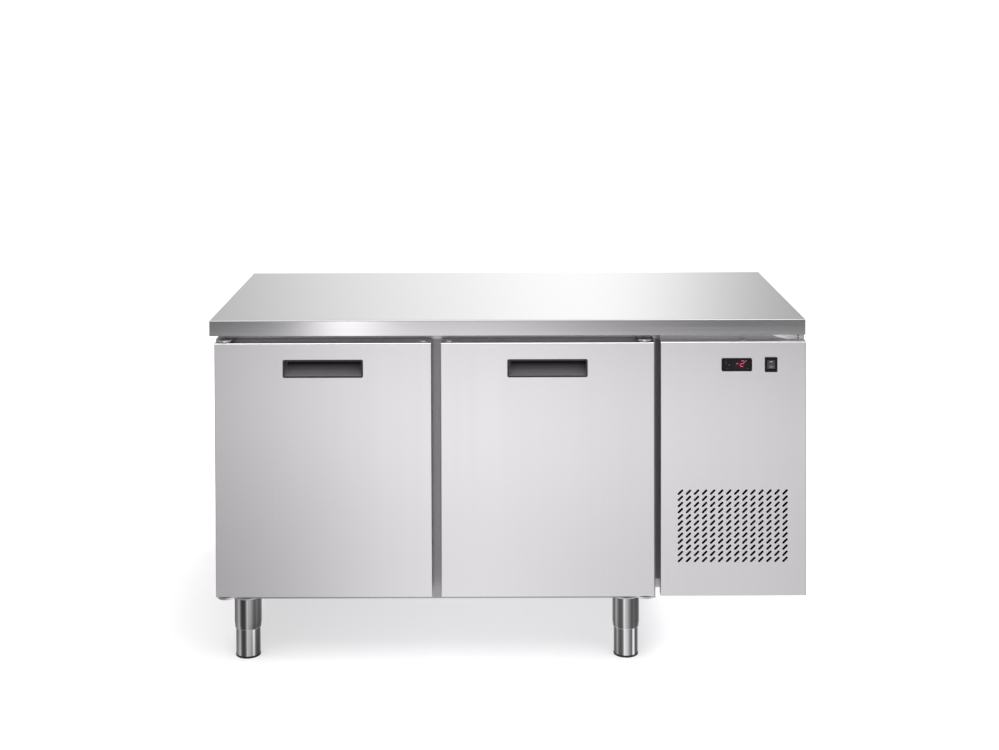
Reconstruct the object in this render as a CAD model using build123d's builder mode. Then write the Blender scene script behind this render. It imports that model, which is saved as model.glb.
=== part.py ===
from build123d import *
from collections import namedtuple
from math import cos, radians, sin
import os

os.makedirs("parts", exist_ok=True)

# Two-door refrigerated counter on four adjustable legs, with its cooling unit in a
# compartment that hangs off the right end. Millimetres, +X to the right, -Y to the
# front, +Z up; the origin is the middle of the footprint, on the floor.

# ---- overall sizes ----
counter_length = 1450.0
counter_depth = 700.0
counter_height = 850.0
door_proud = 10.0

# ---- clearances ----
seat_gap = 0.3
running_gap = 0.05
pin_gap = 0.05
screw_gap = 0.1

# ---- worktop ----
worktop_thickness = 38.0
worktop_sheet = 1.2
worktop_edge_radius = 2.5
worktop_lip = 20.0

# ---- insulated body ----
body_end_inset = 14.0
body_width = 1075.0
body_back_inset = 10.0
leg_height = 150.0
skin = 1.0
wall = 55.0
panel_flange = 20.0
frame_return = 15.0
cavity_corner = 14.0
mullion_width = 94.0
mullion_depth = 45.0

# ---- doors ----
door_thickness = 50.0
door_sheet = 0.8
door_edge_radius = 2.2
door_gap = 22.0
door_rise = 25.0
door_headroom = 16.0
right_door_inset = 7.5
door_side_return = 38.0
door_end_return = 30.0
gasket_space = 10.0
gasket_width = 14.0
gasket_bead = 3.5
gasket_side_inset = 22.0
gasket_end_inset = 14.0
liner_field_margin = 4.0
liner_field_gap = 2.0

# ---- door handles ----
handle_length = 195.0
handle_height = 44.0
handle_drop = 40.0
handle_corner = 4.0
handle_rim = 4.0
handle_rim_proud = 0.8
pocket_depth = 24.0
pocket_wall = 2.0
pocket_undercut = 7.0
pocket_scoop = 14.0
scoop_middle_depth = 14.4
scoop_middle_rise = 4.2

# ---- hinges ----
pivot_inset = 22.0
pivot_depth = 22.0
pin_radius = 4.0
pin_reach = 12.0
hinge_plate = 5.0
hinge_tongue_radius = 21.0
hinge_gap = 2.0
lower_flange_height = 16.0
bush_radius = 8.0
bush_flange_radius = 11.0
plug_radius = 7.0
plug_depth = 6.0
plug_head = 1.5
plug_inset = 20.0

# ---- legs and feet ----
leg_left_inset = 64.0
leg_right_inset = 71.0
leg_front_setback = 80.0
leg_back_inset = 70.0
leg_plate = 3.0
stud_radius = 6.0
stud_end = 40.0
sleeve_radius = 33.25
sleeve_wall = 1.5
sleeve_bottom = 71.0
sleeve_taper_top = 84.0
foot_radius = 30.0
foot_wall = 1.5
foot_top = 115.0
foot_nut = 8.0
foot_pad = 5.0
foot_pad_lip = 0.6
foot_pad_edge = 1.2

# ---- shelves ----
upright_width = 20.0
upright_depth = 8.0
upright_wall = 1.2
upright_front_inset = 35.0
upright_back_inset = 50.0
runner_width = 18.0
runner_height = 15.0
runner_sheet = 1.5
runner_level = 470.0
runner_front_inset = 25.0
shelf_gap = 3.0
shelf_bar = 6.0
shelf_wire = 3.2
shelf_pitch = 25.0
shelf_cross_bars = 2

# ---- evaporator, on the right wall of the cold space ----
cover_depth = 70.0
cover_sheet = 1.0
cover_floor_gap = 1.0
cover_head_gap = 3.0
cover_front_inset = 40.0
cover_back_gap = 5.0
evaporator_fan_drop = 100.0
evaporator_fan_back = 270.0
evaporator_fan_tip = 86.0
evaporator_fan_hole = 90.0
guard_rings = [60.0, 30.0]
guard_bar = 4.0
guard_hub = 8.0
cover_slot_rows = 8
cover_slot_columns = 4
cover_slot_length = 60.0
cover_slot_width = 6.0
coil_thickness = 44.0
coil_inset = 13.0
coil_bottom_rise = 65.0
coil_top_rise = 315.0
coil_back_gap = 25.0
coil_length = 285.0
coil_tube = 4.8
coil_tube_rows = 5
coil_tube_proud = 10.0
tray_rise = 25.0
tray_height = 30.0
tray_overhang = 8.0
tray_sheet = 1.5
drain_radius = 8.0
drain_wall = 1.5
drain_run = 105.0
drain_drop = 32.0
drain_bend = 12.0

# ---- fans and fan motors ----
fan_hub = 20.0
fan_blade_root = 3.0
fan_blade_sheet = 1.5
fan_blades = 5
fan_pitch = 28.0
shaft_radius = 4.0
fan_depth = 18.0
motor_radius = 24.0
motor_length = 34.0
motor_gap = 4.0
fan_front_gap = 2.0
motor_arm = 3.0
motor_arm_width = 10.0
motor_arms = 3
arm_clear = 4.0
shaft_stop = 8.0

# ---- machine compartment ----
machine_rise = 26.0
panel_headroom = 15.0
panel_gap = 15.0
panel_return = 28.0
tray_floor_sheet = 1.5
tray_front_setback = 60.0
tray_upstand = 20.0
post_width = 20.0
panel_screw_offset = 201.5
rail_width = 20.0
rail_sheet = 1.5
rail_end_gap = 26.0
rail_end_slope = 12.0

# ---- front air slots ----
slot_columns = 14
slot_rows = 12
slot_pitch_x = 19.55
slot_pitch_z = 15.0
slot_length = 17.0
slot_width = 5.4
slot_angle = 45.0
slots_from_panel_left = 174.8
slots_above_panel_bottom = 171.8

# ---- controller and switch ----
controller_length = 74.0
controller_height = 32.0
controller_corner = 4.0
controller_proud = 2.5
fascia_edge = 0.8
controller_body_inset = 2.0
controller_body_depth = 55.0
controller_from_panel_left = 184.35
controller_below_top = 55.55
window_length = 62.0
window_height = 21.0
window_depth = 0.6
switch_width = 30.4
switch_height = 36.0
switch_corner = 2.0
switch_proud = 3.0
switch_body_inset = 2.0
switch_body_depth = 21.0
switch_from_panel_left = 267.4
rocker_width = 19.0
rocker_radius = 12.3
rocker_setback = 7.0
rocker_side_gap = 0.3
rocker_tip_gap = 0.3
rocker_tilt = 8.0
rocker_face = 6.0
rocker_pin_radius = 1.5
rocker_pin_reach = 2.0

# ---- condensing unit ----
condenser_width = 304.0
condenser_height = 250.0
condenser_depth = 45.0
condenser_setback = 66.0
condenser_rise = 49.0
condenser_side_sheet = 2.0
condenser_side_margin = 8.0
shroud_depth = 25.0
shroud_sheet = 1.2
condenser_fan_tip = 100.0
condenser_fan_hole = 104.0
compressor_radius = 78.0
compressor_height = 184.0
compressor_dome = 30.0
compressor_left = 181.0
compressor_back_gap = 225.0
compressor_plate = 3.0
compressor_plate_length = 190.0
compressor_plate_width = 150.0
grommet_radius = 12.0
grommet_height = 20.0
grommet_inset = 16.0
grommet_hole = 3.0
port_radius = 6.0
port_height = 12.0
port_spread = 30.0
port_back = 10.0
terminal_depth = 24.0
terminal_width = 46.0
terminal_height = 60.0
terminal_rise = 58.0
terminal_boss = 7.0
terminal_wall = 1.5
drier_radius = 14.0
drier_length = 120.0
drier_neck = 5.5
drier_cone = 16.0
drier_inset = 19.0
drier_back = 295.0
discharge_inset = 80.0
drier_rise = 76.0
pipe_radius = 4.0
pipe_bend = 22.0
pipe_loop_rise = 66.0
pipe_loop_drop = 44.0
pan_width = 74.0
pan_depth = 250.0
pan_height = 26.0
pan_sheet = 1.5
pan_gap = 8.0
pan_back_gap = 20.0

# ---- machine back panel and cable gland ----
back_slot_length = 60.0
back_slot_width = 6.0
back_slot_rows = 12
back_slot_columns = 4
back_slot_pitch = 16.0
back_slots_rise = 350.0
gland_radius = 12.0
gland_thread = 10.0
gland_bore = 5.0
gland_nut = 5.0
gland_dome = 4.0
gland_inset = 80.0
gland_rise = 90.0

# ---- screws ----
screw_radius = 2.0
screw_head_radius = 4.2
screw_head = 2.2
screw_length = 8.0
screw_spread = 12.0
screw_recess = 1.0
screw_cross = 5.0
back_screw_rows = 4

# ---- places that follow from the sizes ----
front_face = -(counter_depth + door_proud) / 2
back_edge = (counter_depth + door_proud) / 2
worktop_front = back_edge - counter_depth
half_length = counter_length / 2
worktop_under = counter_height - worktop_thickness
body_left = -half_length + body_end_inset
body_right = body_left + body_width
door_back = front_face + door_thickness
body_front = door_back + gasket_space
body_back = back_edge - body_back_inset
body_bottom = leg_height
body_top = worktop_under
cavity_left = body_left + wall
cavity_right = body_right - wall
cavity_floor = body_bottom + wall
cavity_top = body_top - wall
cavity_back = body_back - wall
liner_front = body_front + skin + frame_return + seat_gap
mullion_middle = (body_left + body_right) / 2
mullion_left = mullion_middle - mullion_width / 2
mullion_right = mullion_middle + mullion_width / 2
door_bottom = body_bottom + door_rise
door_top = worktop_under - door_headroom
pivot_y = front_face + pivot_depth
handle_middle = door_top - handle_drop - handle_height / 2
cover_face = cavity_right - cover_depth
cover_front = body_front + cover_front_inset
cover_back = cavity_back - cover_back_gap
cover_bottom = cavity_floor + cavity_corner + cover_floor_gap
cover_top = cavity_top - cavity_corner - cover_head_gap
machine_bottom = body_bottom + machine_rise
tray_floor = machine_bottom + tray_floor_sheet
panel_left = body_right - right_door_inset + panel_gap
panel_top = worktop_under - panel_headroom
machine_right = half_length
side_front = front_face + panel_return + seat_gap

Door = namedtuple("Door", "name left right pivot free")
left_door = Door("left_door", body_left, mullion_middle - door_gap / 2, body_left + pivot_inset,
                 mullion_middle - door_gap / 2 - plug_inset)
right_door = Door("right_door", mullion_middle + door_gap / 2, body_right - right_door_inset,
                  body_right - right_door_inset - pivot_inset,
                  mullion_middle + door_gap / 2 + plug_inset)
doors = [left_door, right_door]

# The two pipes and the drain that cross the wall between the cold space and the machine.
liquid_y = cavity_back - coil_back_gap - pipe_bend
suction_y = liquid_y - 2 * pipe_bend
drain_y = suction_y - 2 * pipe_bend
liquid_z = cavity_floor + coil_top_rise - pipe_bend
suction_z = liquid_z - pipe_bend
drain_z = cavity_floor + tray_rise + drain_radius
wall_crossings = [(liquid_y, liquid_z, pipe_radius), (suction_y, suction_z, pipe_radius),
                  (drain_y, drain_z, drain_radius)]

leg_columns = [body_left + leg_left_inset, body_right - leg_right_inset]
leg_rows = [worktop_front + leg_front_setback, body_back - leg_back_inset]
legs = [(x, y) for y in leg_rows for x in leg_columns]

upper_plate = door_top + hinge_gap
lower_plate = door_bottom - hinge_gap - hinge_plate
upper_flange_middle = (upper_plate + hinge_plate + worktop_under) / 2
lower_flange_middle = lower_plate - lower_flange_height / 2

hinge_screws = [(door.pivot + side * screw_spread, z)
                for door in doors for z in (upper_flange_middle, lower_flange_middle) for side in (-1, 1)]
back_screws = [(machine_right - skin - panel_flange / 2,
                tray_floor + (row + 0.5) * (body_top - tray_floor) / back_screw_rows)
               for row in range(back_screw_rows)]
panel_screw = (panel_left + panel_screw_offset, front_face + panel_return - rail_width / 2)

controller_middle = (panel_left + controller_from_panel_left, panel_top - controller_below_top)
switch_middle = (panel_left + switch_from_panel_left, panel_top - controller_below_top)

condenser_middle_x = (panel_left + machine_right) / 2
condenser_front = front_face + condenser_setback
condenser_back = condenser_front + condenser_depth
condenser_bottom = tray_floor + condenser_rise
condenser_middle_z = condenser_bottom + condenser_height / 2
shroud_back = condenser_back + shroud_depth

compressor_x = body_right + compressor_left
compressor_y = body_back - compressor_back_gap
compressor_foot = tray_floor + grommet_height
compressor_base = compressor_foot + compressor_plate
compressor_top = compressor_base + compressor_height
port_top = compressor_top + port_height
port_y = compressor_y + port_back


def keep(piece, name):
    """Name a finished piece and write it out."""
    piece.part.label = name
    export_step(piece.part, f"parts/{name}.step")


def block(low, high, mode=Mode.ADD):
    """A square block from one corner to the opposite one."""
    with Locations(tuple((a + b) / 2 for a, b in zip(low, high))):
        Box(*(b - a for a, b in zip(low, high)), mode=mode)


def bar(start, end, radius, mode=Mode.ADD):
    """A round bar from one point to another."""
    reach = Vector(*end) - Vector(*start)
    with Locations(Plane(origin=start, z_dir=reach)):
        Cylinder(radius, reach.length, align=(Align.CENTER, Align.CENTER, Align.MIN), mode=mode)


def cross_wall(x_start, x_end, room):
    """Cut the passages of the pipes and the drain through one layer of the right wall."""
    for y, z, radius in wall_crossings:
        bar((x_start, y, z), (x_end, y, z), radius + room, Mode.SUBTRACT)


def drill_front(y_start, y_end, seats):
    """Cut clearance holes for screws that are driven from the front or the back."""
    for x, z in seats:
        bar((x, y_start, z), (x, y_end, z), screw_radius + screw_gap, Mode.SUBTRACT)


# ---- worktop ----
def make_worktop():
    with BuildPart() as worktop:
        block((-half_length, worktop_front, worktop_under), (half_length, back_edge, counter_height))
        fillet(worktop.edges().filter_by(Axis.Z), worktop_edge_radius)
        fillet(worktop.faces().sort_by(Axis.Z)[-1].edges(), worktop_edge_radius)
        block((-half_length + worktop_sheet, worktop_front + worktop_sheet, worktop_under + worktop_sheet),
              (half_length - worktop_sheet, back_edge - worktop_sheet, counter_height - worktop_sheet),
              Mode.SUBTRACT)
        block((-half_length + worktop_lip, worktop_front + worktop_lip, worktop_under),
              (half_length - worktop_lip, back_edge - worktop_lip, worktop_under + worktop_sheet),
              Mode.SUBTRACT)
    keep(worktop, "worktop")


def make_worktop_core():
    edge = worktop_sheet + seat_gap
    inner_edge = worktop_lip + seat_gap
    with BuildPart() as core:
        block((-half_length + edge, worktop_front + edge, worktop_under + edge),
              (half_length - edge, back_edge - edge, counter_height - edge))
        block((-half_length + inner_edge, worktop_front + inner_edge, worktop_under),
              (half_length - inner_edge, back_edge - inner_edge, worktop_under + edge))
    keep(core, "worktop_core")


# ---- outer skin of the insulated body ----
def make_side_panel(name, outer, inward, pierced):
    """An end sheet with flanges folded inward at the front, the back and the bottom."""
    inner = outer + inward * skin
    tip = outer + inward * panel_flange
    front = body_front + skin
    back = body_back - skin
    floor = body_bottom + skin
    web, reach = sorted((outer, inner)), sorted((outer, tip))
    with BuildPart() as panel:
        block((web[0], front, floor), (web[1], back, body_top))
        block((reach[0], front, floor), (reach[1], front + skin, body_top))
        block((reach[0], back - skin, floor), (reach[1], back, body_top))
        block((reach[0], front, floor), (reach[1], back, floor + skin))
        if pierced:
            cross_wall(web[0] - skin, web[1] + skin, seat_gap)
        drill_front(front - skin, front + 2 * skin, hinge_screws)
    keep(panel, name)


def make_back_panel():
    with BuildPart() as panel:
        block((body_left, body_back - skin, body_bottom), (body_right, body_back, body_top))
    keep(panel, "back_panel")


def make_bottom_panel():
    with BuildPart() as panel:
        block((body_left, body_front + skin, body_bottom),
              (body_right, body_back - skin, body_bottom + skin))
    keep(panel, "bottom_panel")


def make_front_frame():
    """The face sheet round the cold space, with a lip folded back into the opening."""
    middle = ((cavity_left + cavity_right) / 2, (cavity_floor + cavity_top) / 2)
    wide = cavity_right - cavity_left
    high = cavity_top - cavity_floor
    with BuildPart() as frame:
        block((body_left, body_front, body_bottom), (body_right, body_front + skin, body_top))
        with BuildSketch(Plane.XZ.offset(-body_front)):
            with Locations(middle):
                RectangleRounded(wide + 2 * skin, high + 2 * skin, cavity_corner + skin)
        extrude(amount=-(skin + frame_return))
        with BuildSketch(Plane.XZ.offset(-body_front)):
            with Locations(middle):
                RectangleRounded(wide, high, cavity_corner)
        extrude(amount=-(skin + frame_return), mode=Mode.SUBTRACT)
        drill_front(body_front - skin, body_front + 2 * skin, hinge_screws)
    keep(frame, "front_frame")


def make_centre_mullion():
    """The upright that both doors close against: a square tube, closed all round."""
    with BuildPart() as mullion:
        block((mullion_left, body_front, cavity_floor + seat_gap),
              (mullion_right, body_front + mullion_depth, cavity_top - seat_gap))
        upright = mullion.edges().filter_by(Axis.Z)
        fillet(upright, 2 * skin)
        block((mullion_left + skin, body_front + skin, cavity_floor + seat_gap + skin),
              (mullion_right - skin, body_front + mullion_depth - skin, cavity_top - seat_gap - skin),
              Mode.SUBTRACT)
    keep(mullion, "centre_mullion")


def make_inner_liner():
    """The tub of the cold space, open at the front, with rounded long corners."""
    middle = ((cavity_left + cavity_right) / 2, (cavity_floor + cavity_top) / 2)
    wide = cavity_right - cavity_left
    high = cavity_top - cavity_floor
    with BuildPart() as liner:
        with BuildSketch(Plane.XZ.offset(-liner_front)):
            with Locations(middle):
                RectangleRounded(wide + 2 * skin, high + 2 * skin, cavity_corner + skin)
        extrude(amount=-(cavity_back + skin - liner_front))
        with BuildSketch(Plane.XZ.offset(-liner_front)):
            with Locations(middle):
                RectangleRounded(wide, high, cavity_corner)
        extrude(amount=-(cavity_back - liner_front), mode=Mode.SUBTRACT)
        cross_wall(cavity_right - skin, cavity_right + 2 * skin, seat_gap)
    keep(liner, "inner_liner")


def make_foam_insulation():
    """Foam between the outer sheets and the tub, cut back round their folds."""
    fold = 2 * skin + seat_gap
    side = skin + seat_gap
    room = skin + seat_gap
    middle = ((cavity_left + cavity_right) / 2, (cavity_floor + cavity_top) / 2)
    wide = cavity_right - cavity_left + 2 * room
    high = cavity_top - cavity_floor + 2 * room
    with BuildPart() as foam:
        block((body_left + side, body_front + fold, body_bottom + fold),
              (body_right - side, body_back - fold, body_top))
        with BuildSketch(Plane.XZ.offset(-body_front)):
            with Locations(middle):
                RectangleRounded(wide, high, cavity_corner + room)
        extrude(amount=-(cavity_back + room - body_front), mode=Mode.SUBTRACT)
        cross_wall(cavity_right, body_right, seat_gap)
        drill_front(body_front, body_front + screw_length + 2 * skin, hinge_screws)
    keep(foam, "foam_insulation")


# ---- doors ----
def door_middle(door):
    return (door.left + door.right) / 2


def pocket_room():
    """Half sizes of the hole that the handle pocket needs, across and below the middle."""
    across = handle_length / 2 - handle_rim + pocket_wall + seat_gap
    below = handle_height / 2 - handle_rim + pocket_wall + seat_gap
    return across, below


def make_door_skin(door):
    """Folded pan: face, four sides and a return round the back."""
    across, below = pocket_room()
    middle = door_middle(door)
    with BuildPart() as pan:
        block((door.left, front_face, door_bottom), (door.right, door_back, door_top))
        fillet(pan.faces().sort_by(Axis.Y)[0].edges(), door_edge_radius)
        block((door.left + door_sheet, front_face + door_sheet, door_bottom + door_sheet),
              (door.right - door_sheet, door_back - door_sheet, door_top - door_sheet), Mode.SUBTRACT)
        block((door.left + door_side_return, door_back - door_sheet, door_bottom + door_end_return),
              (door.right - door_side_return, door_back, door_top - door_end_return), Mode.SUBTRACT)
        block((middle - across, front_face, handle_middle - below),
              (middle + across, front_face + door_sheet, handle_middle + below), Mode.SUBTRACT)
        for x, radius in ((door.pivot, bush_radius), (door.free, plug_radius)):
            bar((x, pivot_y, door_top - door_sheet), (x, pivot_y, door_top), radius + screw_gap,
                Mode.SUBTRACT)
        bar((door.pivot, pivot_y, door_bottom), (door.pivot, pivot_y, door_bottom + door_sheet),
            bush_radius + screw_gap, Mode.SUBTRACT)
    keep(pan, f"{door.name}_skin")


def make_door_liner(door):
    """Inner sheet of the door with a raised field inside the gasket."""
    plate_front = door_back - 2 * door_sheet
    plate_back = door_back - door_sheet
    field_back = body_front - liner_field_gap
    side = door_side_return + liner_field_margin
    end = door_end_return + liner_field_margin
    edge = door_sheet + seat_gap
    with BuildPart() as liner:
        block((door.left + edge, plate_front, door_bottom + edge),
              (door.right - edge, plate_back, door_top - edge))
        block((door.left + side, plate_back, door_bottom + end),
              (door.right - side, field_back, door_top - end))
        fillet(liner.faces().sort_by(Axis.Y)[-1].edges(), door_edge_radius)
        inner = door_sheet
        block((door.left + side + inner, plate_front, door_bottom + end + inner),
              (door.right - side - inner, field_back - inner, door_top - end - inner), Mode.SUBTRACT)
        for z in (door_bottom, door_top):
            bar((door.pivot, pivot_y, z - pin_reach), (door.pivot, pivot_y, z + pin_reach),
                bush_radius + seat_gap, Mode.SUBTRACT)
    keep(liner, f"{door.name}_liner")


def make_door_foam(door):
    across, below = pocket_room()
    middle = door_middle(door)
    edge = door_sheet + seat_gap
    back = door_back - 2 * door_sheet - seat_gap
    with BuildPart() as foam:
        block((door.left + edge, front_face + door_edge_radius, door_bottom + edge),
              (door.right - edge, back, door_top - edge))
        block((middle - across, front_face, handle_middle - below),
              (middle + across, front_face + pocket_depth + pocket_wall + seat_gap,
               handle_middle + below + pocket_undercut), Mode.SUBTRACT)
        for z, inward in ((door_bottom, 1), (door_top, -1)):
            bar((door.pivot, pivot_y, z), (door.pivot, pivot_y, z + inward * (pin_reach + seat_gap)),
                bush_radius + seat_gap, Mode.SUBTRACT)
        bar((door.free, pivot_y, door_top), (door.free, pivot_y, door_top - plug_depth - seat_gap),
            plug_radius + seat_gap, Mode.SUBTRACT)
    keep(foam, f"{door.name}_foam")


def make_door_gasket(door):
    """Magnetic gasket ring, pressed on the back of the door."""
    seal_back = body_front - seat_gap
    inner_edge = gasket_width - gasket_bead
    left, right = door.left + gasket_side_inset, door.right - gasket_side_inset
    low, high = door_bottom + gasket_end_inset, door_top - gasket_end_inset
    with BuildPart() as gasket:
        block((left, door_back, low), (right, seal_back, high))
        block((left + gasket_width, door_back, low + gasket_width),
              (right - gasket_width, seal_back, high - gasket_width), Mode.SUBTRACT)
        with BuildSketch(Plane.XZ.offset(-seal_back)):
            with Locations(((left + right) / 2, (low + high) / 2)):
                Rectangle(right - left - 2 * gasket_bead, high - low - 2 * gasket_bead)
                Rectangle(right - left - 2 * inner_edge, high - low - 2 * inner_edge, mode=Mode.SUBTRACT)
        extrude(amount=gasket_bead, mode=Mode.SUBTRACT)
    keep(gasket, f"{door.name}_gasket")


def make_door_handle(door):
    """Moulded pocket: a flat rim, a scooped floor and a finger hold behind the top rim."""
    middle = door_middle(door)
    half_length_inside = handle_length / 2 - handle_rim
    half_height_inside = handle_height / 2 - handle_rim
    depth_end = front_face + pocket_depth
    rim_back = front_face + door_sheet + seat_gap
    lip_back = rim_back + pocket_wall
    floor = handle_middle - half_height_inside
    head = handle_middle + half_height_inside
    top = head + pocket_undercut
    outside = front_face - handle_rim_proud
    with BuildPart() as handle:
        with BuildSketch(Plane.XZ.offset(-front_face)):
            with Locations((middle, handle_middle)):
                RectangleRounded(handle_length, handle_height, handle_corner)
        extrude(amount=handle_rim_proud)
        with BuildSketch(Plane.YZ.offset(middle - half_length_inside - pocket_wall)):
            with BuildLine():
                Polyline((front_face, floor - pocket_wall), (depth_end + pocket_wall, floor - pocket_wall),
                         (depth_end + pocket_wall, top + pocket_wall), (rim_back, top + pocket_wall),
                         (rim_back, head + pocket_wall), (front_face, head + pocket_wall), close=True)
            make_face()
        extrude(amount=2 * (half_length_inside + pocket_wall))
        with BuildSketch(Plane.YZ.offset(middle - half_length_inside)):
            with BuildLine():
                Line((outside, floor), (front_face, floor))
                ThreePointArc((front_face, floor),
                              (front_face + scoop_middle_depth, floor + scoop_middle_rise),
                              (depth_end, floor + pocket_scoop))
                Polyline((depth_end, floor + pocket_scoop), (depth_end, top), (lip_back, top),
                         (lip_back, head), (outside, head), (outside, floor))
            make_face()
        extrude(amount=2 * half_length_inside, mode=Mode.SUBTRACT)
    keep(handle, f"{door.name}_handle")


def make_door_bushes(door):
    """Nylon pivot bushes at the top and bottom, and the plug of the unused pivot hole."""
    flange = hinge_gap - seat_gap
    with BuildPart() as bushes:
        for z, outward in ((door_top, 1), (door_bottom, -1)):
            deep = z - outward * pin_reach
            tip = z + outward * flange
            bar((door.pivot, pivot_y, deep), (door.pivot, pivot_y, tip), bush_radius)
            bar((door.pivot, pivot_y, z), (door.pivot, pivot_y, tip), bush_flange_radius)
            bar((door.pivot, pivot_y, deep), (door.pivot, pivot_y, tip), pin_radius + pin_gap,
                Mode.SUBTRACT)
        bar((door.free, pivot_y, door_top - plug_depth), (door.free, pivot_y, door_top + plug_head),
            plug_radius)
    keep(bushes, f"{door.name}_bushes")


# ---- hinges ----
def make_hinges(name, plate_bottom, flange_low, flange_high, pin_low, pin_high):
    """Tongue plates with a flange on the body's face and a pin on the door's pivot line."""
    flange_front = body_front - hinge_plate
    seats = [(x, z) for x, z in hinge_screws if flange_low < z < flange_high]
    with BuildPart() as hinges:
        for door in doors:
            with BuildSketch(Plane.XY.offset(plate_bottom)):
                with Locations((door.pivot, pivot_y)):
                    Circle(hinge_tongue_radius)
                with Locations((door.pivot, (pivot_y + body_front) / 2)):
                    Rectangle(2 * hinge_tongue_radius, body_front - pivot_y)
            extrude(amount=hinge_plate)
            block((door.pivot - hinge_tongue_radius, flange_front, flange_low),
                  (door.pivot + hinge_tongue_radius, body_front, flange_high))
            bar((door.pivot, pivot_y, pin_low), (door.pivot, pivot_y, pin_high), pin_radius)
        drill_front(flange_front, body_front, seats)
    keep(hinges, name)


# ---- legs and feet ----
def make_leg_plates():
    """Round mounting plates with the threaded stud that each foot turns on."""
    with BuildPart() as plates:
        for x, y in legs:
            bar((x, y, leg_height - leg_plate), (x, y, leg_height), sleeve_radius)
            bar((x, y, stud_end), (x, y, leg_height - leg_plate), stud_radius)
    keep(plates, "leg_plates")


def make_leg_sleeves():
    """Bright tube sleeves that close in on the foot tube at their lower end."""
    top = leg_height - leg_plate
    inside = sleeve_radius - sleeve_wall
    mouth = foot_radius + seat_gap
    with BuildPart() as sleeves:
        for x, y in legs:
            with BuildSketch(Plane.XZ.offset(-y)):
                with BuildLine():
                    Polyline((x + inside, top), (x + sleeve_radius, top),
                             (x + sleeve_radius, sleeve_taper_top),
                             (x + mouth + sleeve_wall, sleeve_bottom), (x + mouth, sleeve_bottom),
                             (x + inside, sleeve_taper_top), close=True)
                make_face()
            revolve(axis=Axis((x, y, 0), (0, 0, 1)))
    keep(sleeves, "leg_sleeves")


def make_foot(name, x, y):
    """Adjustable foot: a closed tube that rides on the stud through its top nut."""
    with BuildPart() as foot:
        bar((x, y, foot_pad), (x, y, foot_top), foot_radius)
        bar((x, y, foot_pad + foot_wall), (x, y, foot_top - foot_nut), foot_radius - foot_wall,
            Mode.SUBTRACT)
        bar((x, y, foot_top - foot_nut), (x, y, foot_top), stud_radius + running_gap, Mode.SUBTRACT)
        bar((x, y, 0), (x, y, foot_pad), foot_radius + foot_pad_lip)
        fillet(foot.faces().sort_by(Axis.Z)[0].edges(), foot_pad_edge)
    keep(foot, name)


# ---- shelves and their racking ----
upright_lines = [(cavity_left, 1), (mullion_middle - upright_depth, -1),
                 (mullion_middle + upright_depth, 1), (cover_face, -1)]
upright_rows = [body_front + mullion_depth + upright_front_inset, cavity_back - upright_back_inset]


def wall_channel(face, inward, row, bottom, top):
    """One upright channel whose open back lies on a wall."""
    outer = sorted((face, face + inward * upright_depth))
    groove = sorted((face, face + inward * (upright_depth - upright_wall)))
    half = upright_width / 2
    block((outer[0], row - half, bottom), (outer[1], row + half, top))
    block((groove[0], row - half + upright_wall, bottom), (groove[1], row + half - upright_wall, top),
          Mode.SUBTRACT)


def make_shelf_uprights():
    """Channels on the left wall and on the evaporator cover, and two posts behind the mullion."""
    half = upright_width / 2
    wall_side = upright_lines[0]
    cover_side = upright_lines[-1]
    with BuildPart() as uprights:
        for row in upright_rows:
            wall_channel(*wall_side, row, cavity_floor + cavity_corner, cavity_top - cavity_corner)
            wall_channel(*cover_side, row, cover_bottom, cover_top)
            block((mullion_middle - upright_depth, row - half, cavity_floor),
                  (mullion_middle + upright_depth, row + half, cavity_top))
            block((mullion_middle - upright_depth + upright_wall, row - half + upright_wall, cavity_floor),
                  (mullion_middle + upright_depth - upright_wall, row + half - upright_wall, cavity_top),
                  Mode.SUBTRACT)
    keep(uprights, "shelf_uprights")


def runner_faces():
    """Where each runner stands: the face of its uprights and the way it points."""
    left_wall, post_left, post_right, cover = upright_lines
    return [(left_wall[0] + upright_depth, 1), post_left, post_right, (cover[0] - upright_depth, -1)]


def make_shelf_runners():
    front = body_front + mullion_depth + runner_front_inset
    back = cavity_back - runner_front_inset
    with BuildPart() as runners:
        for face, inward in runner_faces():
            web = sorted((face, face + inward * runner_sheet))
            shelf = sorted((face, face + inward * runner_width))
            block((web[0], front, runner_level - runner_height), (web[1], back, runner_level))
            block((shelf[0], front, runner_level - runner_sheet), (shelf[1], back, runner_level))
    keep(runners, "shelf_runners")


def make_shelf(name, left_face, right_face):
    """Wire shelf: a square bar frame, two cross bars and thin wires from front to back."""
    left = left_face + shelf_gap
    right = right_face - shelf_gap
    front = body_front + mullion_depth + runner_front_inset + shelf_gap
    back = cavity_back - runner_front_inset - shelf_gap
    wires = int((right - left - 2 * shelf_bar) / shelf_pitch)
    spacing = (right - left - shelf_bar) / (wires + 1)
    with BuildPart() as shelf:
        block((left, front, runner_level), (right, back, runner_level + shelf_bar))
        block((left + shelf_bar, front + shelf_bar, runner_level),
              (right - shelf_bar, back - shelf_bar, runner_level + shelf_bar), Mode.SUBTRACT)
        for bar_number in range(1, shelf_cross_bars + 1):
            y = front + bar_number * (back - front) / (shelf_cross_bars + 1)
            block((left, y - shelf_bar / 2, runner_level),
                  (right, y + shelf_bar / 2, runner_level + shelf_bar))
        with GridLocations(spacing, 1, wires, 1) as lines:
            spots = [place.position.X for place in lines.locations]
        for spot in spots:
            x = (left + right) / 2 + spot
            y_ends = (front + shelf_bar / 2, back - shelf_bar / 2)
            z = runner_level + shelf_bar - shelf_wire / 2
            bar((x, y_ends[0], z), (x, y_ends[1], z), shelf_wire / 2)
    keep(shelf, name)


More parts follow.
